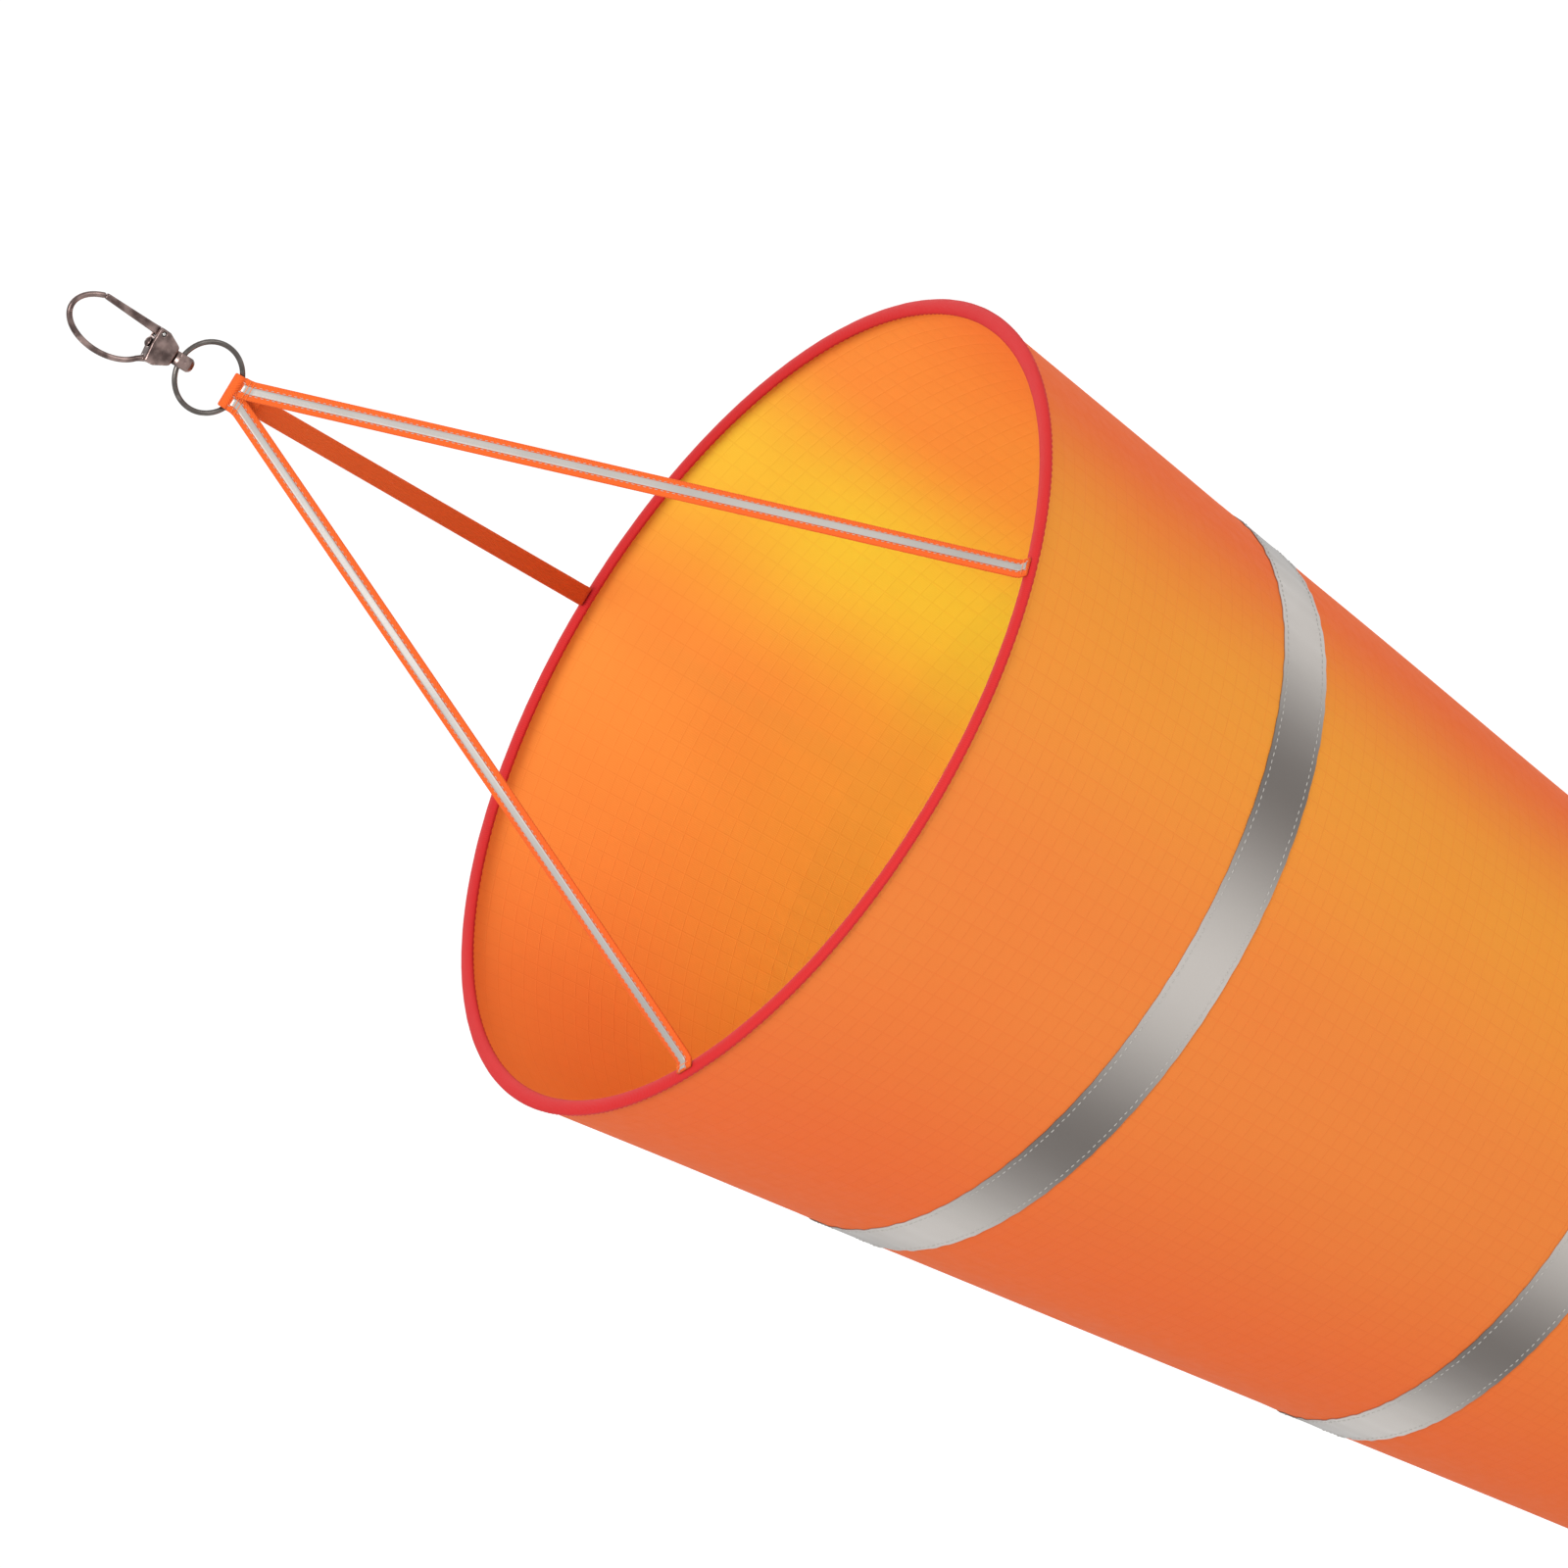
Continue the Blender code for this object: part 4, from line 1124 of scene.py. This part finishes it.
def make_spring():
    """The bowed leaf behind the gate's root, which the opening gate presses flat."""
    low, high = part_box("gate_spring")
    share = np.linspace(0.0, 1.0, 17)
    levels = low[2] + (BOLSTER_TOP_Z - 0.3 * MM - low[2]) * share
    bow = low[0] + 0.15 * MM + 0.35 * MM * np.sin(math.pi * share)
    places = np.stack([bow, 0 * share, levels], axis=1)
    across = np.tile([0.0, 1.0, 0.0], (len(share), 1))
    up = np.tile([1.0, 0.0, 0.0], (len(share), 1))
    outline = strip_section(high[1] - low[1], SPRING_THICKNESS)
    spring = sweep("spring_leaf", places, levels - low[2], across, up, outline, "steel")
    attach(spring, "hook")
    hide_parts("gate_spring")
    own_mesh(spring)


def make_swivel():
    """The stud: a peened head, a shank and a flattened eye."""
    head_z, knob_z, foot_z = BOLSTER_TOP_Z + 0.3 * MM, HOOK_LOW[2] - 0.3 * MM, STUD_LOW[2]
    profile = [
        (0.0, STUD_HIGH[2]),
        (1.0 * MM, STUD_HIGH[2] - 0.15 * MM),
        (1.75 * MM, head_z + 0.35 * MM),
        (1.7 * MM, head_z),
        (1.2 * MM, head_z),
        (1.2 * MM, knob_z),
        (2.4 * MM, knob_z),
        (3.3 * MM, knob_z - 1.2 * MM),
        (3.1 * MM, foot_z + 1.8 * MM),
        (1.9 * MM, foot_z),
        (0.0, foot_z),
    ]
    stud = turned_mesh("stud", rounded_profile(profile, 0.3 * MM), 64)
    middle_z = (STUD_HIGH[2] + STUD_LOW[2]) / 2
    cuts = [
        ("INTERSECT", cutter("box", (4.8 * MM, 9 * MM, 22 * MM), (0.0, 0.0, middle_z))),
        ("DIFFERENCE", cutter("round", (1.6 * MM, 8 * MM), (0.0, 0.0, EYE_Z), ALONG_X)),
    ]
    piece = cast("swivel_eye", [stud], cuts, 0.11 * MM, 5)
    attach(piece, "swivel")
    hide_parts("swivel_stud")


# ------------------------------------------------------------ node trees


class Tree(NodeMaker):
    """Builds one Geometry Nodes tree whose inputs have names."""

    def __init__(self, name):
        self.tree = bpy.data.node_groups.new(name, "GeometryNodeTree")
        self.inputs = {}
        kind = "NodeSocketGeometry"
        self.add_input("Geometry", kind)
        self.tree.interface.new_socket("Geometry", in_out="OUTPUT", socket_type=kind)
        self.source = self.tree.nodes.new("NodeGroupInput")

    def add_input(self, name, kind, default=None):
        socket = self.tree.interface.new_socket(name, in_out="INPUT", socket_type=kind)
        if default is not None:
            socket.default_value = default
        self.inputs[name] = socket.identifier

    def given(self, name):
        return self.source.outputs[name]

    def end(self, geometry):
        real = self.node("GeometryNodeRealizeInstances", {"Geometry": geometry})
        smooth = self.node("GeometryNodeSetShadeSmooth", {"Geometry": real.outputs[0]})
        inputs = {"Geometry": smooth.outputs[0], "Material": self.given("Material")}
        painted = self.node("GeometryNodeSetMaterial", inputs)
        sink = self.tree.nodes.new("NodeGroupOutput")
        self.tree.links.new(painted.outputs[0], sink.inputs[0])

    def run(self, piece, **values):
        """Sets the inputs, then turns the piece into the plain mesh that the tree makes."""
        modifier = piece.modifiers.new(self.tree.name, "NODES")
        modifier.node_group = self.tree
        for name, value in values.items():
            modifier[self.inputs[name.replace("_", " ").capitalize()]] = value
        return applied(piece)


def stitch_tree():
    """Threads laid end to end along lines, each lying on the surface below it."""
    tree = Tree("Stitches")
    tree.add_input("Pitch", "NodeSocketFloat", 2.7 * MM)
    tree.add_input("Length", "NodeSocketFloat", 1.9 * MM)
    tree.add_input("Radius", "NodeSocketFloat", 0.2 * MM)
    tree.add_input("Material", "NodeSocketMaterial")
    line = tree.node("GeometryNodeMeshToCurve", {"Mesh": tree.given("Geometry")})
    inputs = {"Curve": line.outputs[0], "Length": tree.given("Pitch")}
    steps = tree.node("GeometryNodeResampleCurve", inputs, mode="LENGTH")
    tangent = tree.node("GeometryNodeInputTangent")
    outward = tree.node("GeometryNodeInputNamedAttribute", {"Name": "outward"}, data_type="FLOAT_VECTOR")
    align = "FunctionNodeAlignRotationToVector"
    along = tree.node(align, {"Vector": tangent.outputs[0]}, axis="X")
    inputs = {"Rotation": along.outputs[0], "Vector": outward.outputs[0]}
    turned = tree.node(align, inputs, axis="Z", pivot_axis="X")
    bead = tree.node("GeometryNodeMeshUVSphere", {"Segments": 6, "Rings": 4, "Radius": 1.0})
    half_length, radius = tree.maths("MULTIPLY", tree.given("Length"), 0.5), tree.given("Radius")
    sizes = tree.node("ShaderNodeCombineXYZ", {0: half_length, 1: radius, 2: radius})
    inputs = {
        "Points": steps.outputs[0],
        "Instance": bead.outputs[0],
        "Rotation": turned.outputs[0],
        "Scale": sizes.outputs[0],
    }
    threads = tree.node("GeometryNodeInstanceOnPoints", inputs)
    tree.end(threads.outputs[0])
    return tree


def hoop_tree():
    """A closed section carried round a circle, with a slightly uneven face."""
    tree = Tree("Swept hoop")
    tree.add_input("Radius", "NodeSocketFloat", 0.1)
    tree.add_input("Steps", "NodeSocketInt", 480)
    tree.add_input("Unevenness", "NodeSocketFloat", 0.0)
    tree.add_input("Grain", "NodeSocketFloat", 100.0)
    tree.add_input("Seed", "NodeSocketFloat", 3.0)
    tree.add_input("Material", "NodeSocketMaterial")
    section = tree.node("GeometryNodeMeshToCurve", {"Mesh": tree.given("Geometry")})
    inputs = {"Resolution": tree.given("Steps"), "Radius": tree.given("Radius")}
    circle = tree.node("GeometryNodeCurvePrimitiveCircle", inputs)
    inputs = {"Curve": circle.outputs[0], "Profile Curve": section.outputs[0]}
    skin = tree.node("GeometryNodeCurveToMesh", inputs)
    inputs = {"W": tree.given("Seed"), "Scale": tree.given("Grain"), "Detail": 2.0}
    noise = tree.node("ShaderNodeTexNoise", inputs, noise_dimensions="4D")
    centred = tree.maths("SUBTRACT", noise.outputs[0], 0.5)
    height = tree.maths("MULTIPLY", centred, tree.given("Unevenness"))
    normal = tree.node("GeometryNodeInputNormal")
    offset = tree.node("ShaderNodeVectorMath", {0: normal.outputs[0], "Scale": height}, operation="SCALE")
    moved = tree.node("GeometryNodeSetPosition", {"Geometry": skin.outputs[0], "Offset": offset.outputs[0]})
    tree.end(moved.outputs[0])
    return tree


TREES = {}


def section_piece(name, points):
    """A closed outline, drawn as (outward, up) points, for the hoop tree to carry round."""
    mesh = bpy.data.meshes.new(name)
    edges = [(i, (i + 1) % len(points)) for i in range(len(points))]
    mesh.from_pydata([(x, -y, 0.0) for x, y in points], edges, [])
    return new_piece(name, mesh)


def carried_round(name, points, finish, **values):
    """A section carried round the Z axis, closed, with its faces pointing out."""
    piece = section_piece(name, points)
    TREES["hoop"].run(piece, material=FINISHES[finish], **values)
    point_out(piece.data, 1e-6)
    piece.data.shade_smooth()
    return piece


def sew(name, lines, finish, pitch=None, length=None, radius=None):
    """Stitches along lines, each a pair of arrays: places, and the way out of the surface."""
    t = setting("trim")
    verts, edges, outs = [], [], []
    for places, outward in lines:
        first = len(verts)
        verts += [tuple(p) for p in places]
        outs += [tuple(o) for o in outward]
        edges += [(i, i + 1) for i in range(first, len(verts) - 1)]
    mesh = bpy.data.meshes.new(name)
    mesh.from_pydata(verts, edges, [])
    layer = mesh.attributes.new("outward", "FLOAT_VECTOR", "POINT")
    layer.data.foreach_set("vector", np.array(outs, dtype=np.float32).ravel())
    piece = new_piece(name, mesh)
    return TREES["stitches"].run(
        piece,
        pitch=pitch or t.stitch_pitch,
        length=length or t.stitch_length,
        radius=radius or t.thread_radius,
        material=FINISHES[finish],
    )


def round_line(z, lift):
    """A stitch line right round the sock at one level."""
    turn = SEAM_AZIMUTH + np.linspace(0.0, 2 * math.pi, 481)
    return surface(turn, z, lift), round_way(turn)


def down_line(side_step, top_z, foot_z, lift):
    """A stitch line down the sock, a set length to one side of its seam."""
    levels = np.linspace(top_z, foot_z, max(2, round((top_z - foot_z) / (3 * MM))))
    turn = SEAM_AZIMUTH + side_step / cloth_radius(levels)
    return surface(turn, levels, lift), round_way(turn)


def arc(half_width, half_height, start, end, steps):
    """Points along part of an ellipse, from start to end in degrees."""
    angles = [math.radians(start + (end - start) * step / steps) for step in range(steps + 1)]
    return [(half_width * math.cos(a), half_height * math.sin(a)) for a in angles]


def make_ring():
    """The ring of drawn wire."""
    section = arc(RING_WIRE, RING_WIRE, 0.0, 360.0, 24)[:-1]
    values = {"radius": RING_RADIUS, "steps": 128, "unevenness": 0.03 * MM, "grain": 400.0}
    piece = carried_round("ring_wire", section, "ring", **values)
    for vertex in piece.data.vertices:
        x, y, z = vertex.co
        vertex.co = (x, z, RING_Z - y)
    point_out(piece.data)
    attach(piece, "ring")
    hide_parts("bridle_ring")


def make_binding():
    """The tape folded over the hoop and the cloth's edge."""
    width, height, tape = BINDING_HALF_WIDTH, BINDING_HALF_HEIGHT, 0.45 * MM
    outer = arc(width, height, 262.0, -52.0, 30)
    inner = arc(width - tape, height - tape, -52.0, 262.0, 26)
    values = {"radius": BINDING_RADIUS, "steps": 480, "unevenness": 0.22 * MM, "grain": 160.0}
    piece = carried_round("binding_tape", outer + inner, "binding", **values)
    for vertex in piece.data.vertices:
        vertex.co.z += MOUTH_Z
    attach(piece, "sock_front")
    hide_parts("mouth_binding")
    turn = np.linspace(0.0, 2 * math.pi, 481)
    rows = []
    for angle in (-28.0, 208.0):
        level, rise = math.cos(math.radians(angle)), math.sin(math.radians(angle))
        radius = BINDING_RADIUS + (width + 0.02 * MM) * level
        z = MOUTH_Z + (height + 0.02 * MM) * rise
        places = radius * round_way(turn) + (0.0, 0.0, z)
        rows.append((places, level * round_way(turn) + (0.0, 0.0, rise)))
    stitches = sew("binding_stitches", rows, "red_thread")
    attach(stitches, "sock_front")


def make_band_stitches(section):
    foot_z = DROOP_Z[section]
    levels = (foot_z + 1.8 * MM, foot_z + BAND_WIDTH - 1.8 * MM)
    lift = setting("cloth").ply_gap + setting("trim").band_thickness
    rows = [round_line(z, lift) for z in levels]
    stitches = sew(f"band_stitches_{section + 1}", rows, "grey_thread")
    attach(stitches, BODIES[section])


def make_seam_stitches(section):
    top_z, foot_z = seam_span(section)
    ends, lift = (top_z - 1.2 * MM, foot_z + 1.2 * MM), SEAM_LIFT + 0.01 * MM
    rows = [down_line(side * 2.6 * MM, *ends, lift) for side in (-1, 1)]
    stitches = sew(f"seam_stitches_{SECTIONS[section]}", rows, "orange_thread")
    bend_over(stitches, section)


def make_hem_stitches():
    levels = (TAIL_Z + HEM_HEIGHT - 1.6 * MM, TAIL_Z + 1.6 * MM)
    stitches = sew("hem_stitches", [round_line(z, 0.05 * MM) for z in levels], "orange_thread")
    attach(stitches, "sock_tail")
    return stitches


def tack_line(places, across, up, index, lift):
    """A row of close stitches straight across a strap."""
    reach = setting("trim").webbing_width / 2 - 0.7 * MM
    shares = np.linspace(-reach, reach, 5)[:, None]
    row = places[index] + across[index] * shares + up[index] * lift
    return row, np.tile(up[index], (5, 1))


def make_strap_stitches():
    """Rows beside each stripe, and bar tacks where each strap is sewn to the tab and to the mouth."""
    t = setting("trim")
    beside, tacks = [], []
    for letter in STRAP_AZIMUTHS:
        places, _, across, up = strap_frame(letter)
        lift = t.webbing_thickness / 2 + 0.02 * MM
        first = STRIPE_START[letter]
        for side in (-1, 1):
            row = places + across * side * (t.stripe_width / 2 + 0.35 * MM) + up * lift
            beside.append((row[first:], up[first:]))
        over_stripe = lift + t.stripe_thickness + 0.03 * MM
        for index in (1, 2, -2):
            tacks.append(tack_line(places, across, up, index, over_stripe))
    stitches = sew("stripe_stitches", beside, "grey_thread", 1.9 * MM, 1.3 * MM, 0.13 * MM)
    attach(stitches, "sock_front")
    stitches = sew("strap_tacks", tacks, "orange_thread", 0.55 * MM, 0.75 * MM, 0.16 * MM)
    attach(stitches, "sock_front")


# ------------------------------------------------------------ operators


class MakeHook(bpy.types.Operator):
    """Make the snap hook: its casting, gate, rivet and swivel"""

    bl_idname = "windsock.make_hook"
    bl_label = "Make hook"

    def execute(self, context):
        make_hook_body()
        make_gate()
        make_spring()
        make_swivel()
        return {"FINISHED"}


class MakeRing(bpy.types.Operator):
    """Make the ring that the bridle hangs from"""

    bl_idname = "windsock.make_ring"
    bl_label = "Make ring"

    def execute(self, context):
        make_ring()
        return {"FINISHED"}


class MakeBridle(bpy.types.Operator):
    """Make the webbing tab, the three straps and their stripes"""

    bl_idname = "windsock.make_bridle"
    bl_label = "Make bridle"

    def execute(self, context):
        make_tab()
        for letter in STRAP_AZIMUTHS:
            make_strap(letter)
        make_strap_stitches()
        return {"FINISHED"}


class MakeMouth(bpy.types.Operator):
    """Make the bound edge round the mouth"""

    bl_idname = "windsock.make_mouth"
    bl_label = "Make mouth"

    def execute(self, context):
        make_binding()
        frame["nodes"]["mouth_hoop"].data.materials.clear()
        frame["nodes"]["mouth_hoop"].data.materials.append(FINISHES["hoop"])
        return {"FINISHED"}


class MakeCloth(bpy.types.Operator):
    """Make the four panels of cloth and the hem at the tail"""

    bl_idname = "windsock.make_cloth"
    bl_label = "Make cloth"

    def execute(self, context):
        hem = make_hem()
        stitches = make_hem_stitches()
        for section in range(len(SECTIONS) - 1):
            make_cloth(section)
        make_cloth(len(SECTIONS) - 1)
        return {"FINISHED"}


class MakeBands(bpy.types.Operator):
    """Make the three reflective bands and their stitches"""

    bl_idname = "windsock.make_bands"
    bl_label = "Make bands"

    def execute(self, context):
        for section in range(len(DROOP_Z)):
            make_band(section)
            make_band_stitches(section)
        return {"FINISHED"}


class MakeSeams(bpy.types.Operator):
    """Make the taped seam down the back of the sock"""

    bl_idname = "windsock.make_seams"
    bl_label = "Make seams"

    def execute(self, context):
        for section in range(len(SECTIONS)):
            make_seam(section)
            make_seam_stitches(section)
        return {"FINISHED"}


def soft_light(name, azimuth, elevation, size, power):
    """A square light, 3 metres from the middle of the sock, that faces it."""
    middle = Vector((0.0, 0.0, (MOUTH_Z + TAIL_Z) / 2))
    turn, rise = math.radians(azimuth), math.radians(elevation)
    way = Vector((math.cos(turn) * math.cos(rise), math.sin(turn) * math.cos(rise), math.sin(rise)))
    data = bpy.data.lights.new(name, "AREA")
    data.shape = "SQUARE"
    data.size = size
    data.energy = power
    light = bpy.data.objects.new(name, data)
    light.location = middle + way * 3.0
    light.rotation_euler = way.to_track_quat("Z", "Y").to_euler()
    bpy.context.scene.collection.objects.link(light)


class SetStage(bpy.types.Operator):
    """Set the floor, the lights and the camera"""

    bl_idname = "windsock.set_stage"
    bl_label = "Set stage"

    def execute(self, context):
        s = setting("stage")
        half, floor_z = 60.0, TAIL_Z - s.floor_drop
        mesh = bpy.data.meshes.new("floor")
        corners = [(x * half, y * half, floor_z) for x, y in ((-1, -1), (1, -1), (1, 1), (-1, 1))]
        mesh.from_pydata(corners, [], [(0, 1, 2, 3)])
        floor = new_piece("floor", mesh, "floor")
        world = bpy.data.worlds.new("pale studio")
        world.use_nodes = True
        sky = world.node_tree.nodes["Background"]
        sky.inputs["Color"].default_value = (1.0, 1.0, 1.0, 1.0)
        sky.inputs["Strength"].default_value = s.sky_strength
        context.scene.world = world
        context.scene.view_settings.view_transform = "Standard"
        soft_light("side_light", -40.0, 12.0, 1.6, 20.0)
        soft_light("mouth_light", -116.0, 58.0, 1.2, 60.0)
        soft_light("back_light", 75.0, 20.0, 1.8, 28.0)
        rise, roll = s.camera_elevation, s.camera_roll
        ahead = Vector((0.0, math.cos(rise), -math.sin(rise)))
        level = Vector((1.0, 0.0, 0.0))
        above = Vector((0.0, math.sin(rise), math.cos(rise)))
        right = level * math.cos(roll) - above * math.sin(roll)
        up = level * math.sin(roll) + above * math.cos(roll)
        data = bpy.data.cameras.new("camera")
        data.lens = s.camera_lens
        data.sensor_width = 36.0
        data.clip_start, data.clip_end = 0.1, 200.0
        camera = bpy.data.objects.new("camera", data)
        turn = Matrix((right, up, -ahead)).transposed().to_4x4()
        place = Vector((0.0, 0.0, MOUTH_Z)) - ahead * s.camera_distance
        place += right * s.camera_side + up * s.camera_rise
        camera.matrix_world = Matrix.Translation(place) @ turn
        context.scene.collection.objects.link(camera)
        context.scene.camera = camera
        return {"FINISHED"}


MAKERS = (SetStage, MakeHook, MakeRing, MakeBridle, MakeMouth, MakeCloth, MakeBands, MakeSeams)


class WindsockPanel(bpy.types.Panel):
    """Lists what makes the windsock, with its settings"""

    bl_idname = "VIEW3D_PT_windsock"
    bl_label = "Windsock"
    bl_space_type = "VIEW_3D"
    bl_region_type = "UI"
    bl_category = "Windsock"

    def draw(self, context):
        for maker in MAKERS:
            self.layout.operator(maker.bl_idname)
        for name, group in SETTINGS.items():
            box = self.layout.box()
            for key in group.__annotations__:
                box.prop(getattr(context.scene, name), key)


CLASSES = (*SETTINGS.values(), *MAKERS, WindsockPanel)


def register():
    for cls in CLASSES:
        bpy.utils.register_class(cls)
    for name, group in SETTINGS.items():
        setattr(bpy.types.Scene, name, PointerProperty(type=group))


def unregister():
    for name in SETTINGS:
        delattr(bpy.types.Scene, name)
    for cls in reversed(CLASSES):
        bpy.utils.unregister_class(cls)


def main():
    register()
    make_finishes()
    TREES["stitches"] = stitch_tree()
    TREES["hoop"] = hoop_tree()
    for maker in MAKERS:
        group, name = maker.bl_idname.split(".")
        getattr(getattr(bpy.ops, group), name)()


if __name__ == "__main__":
    main()
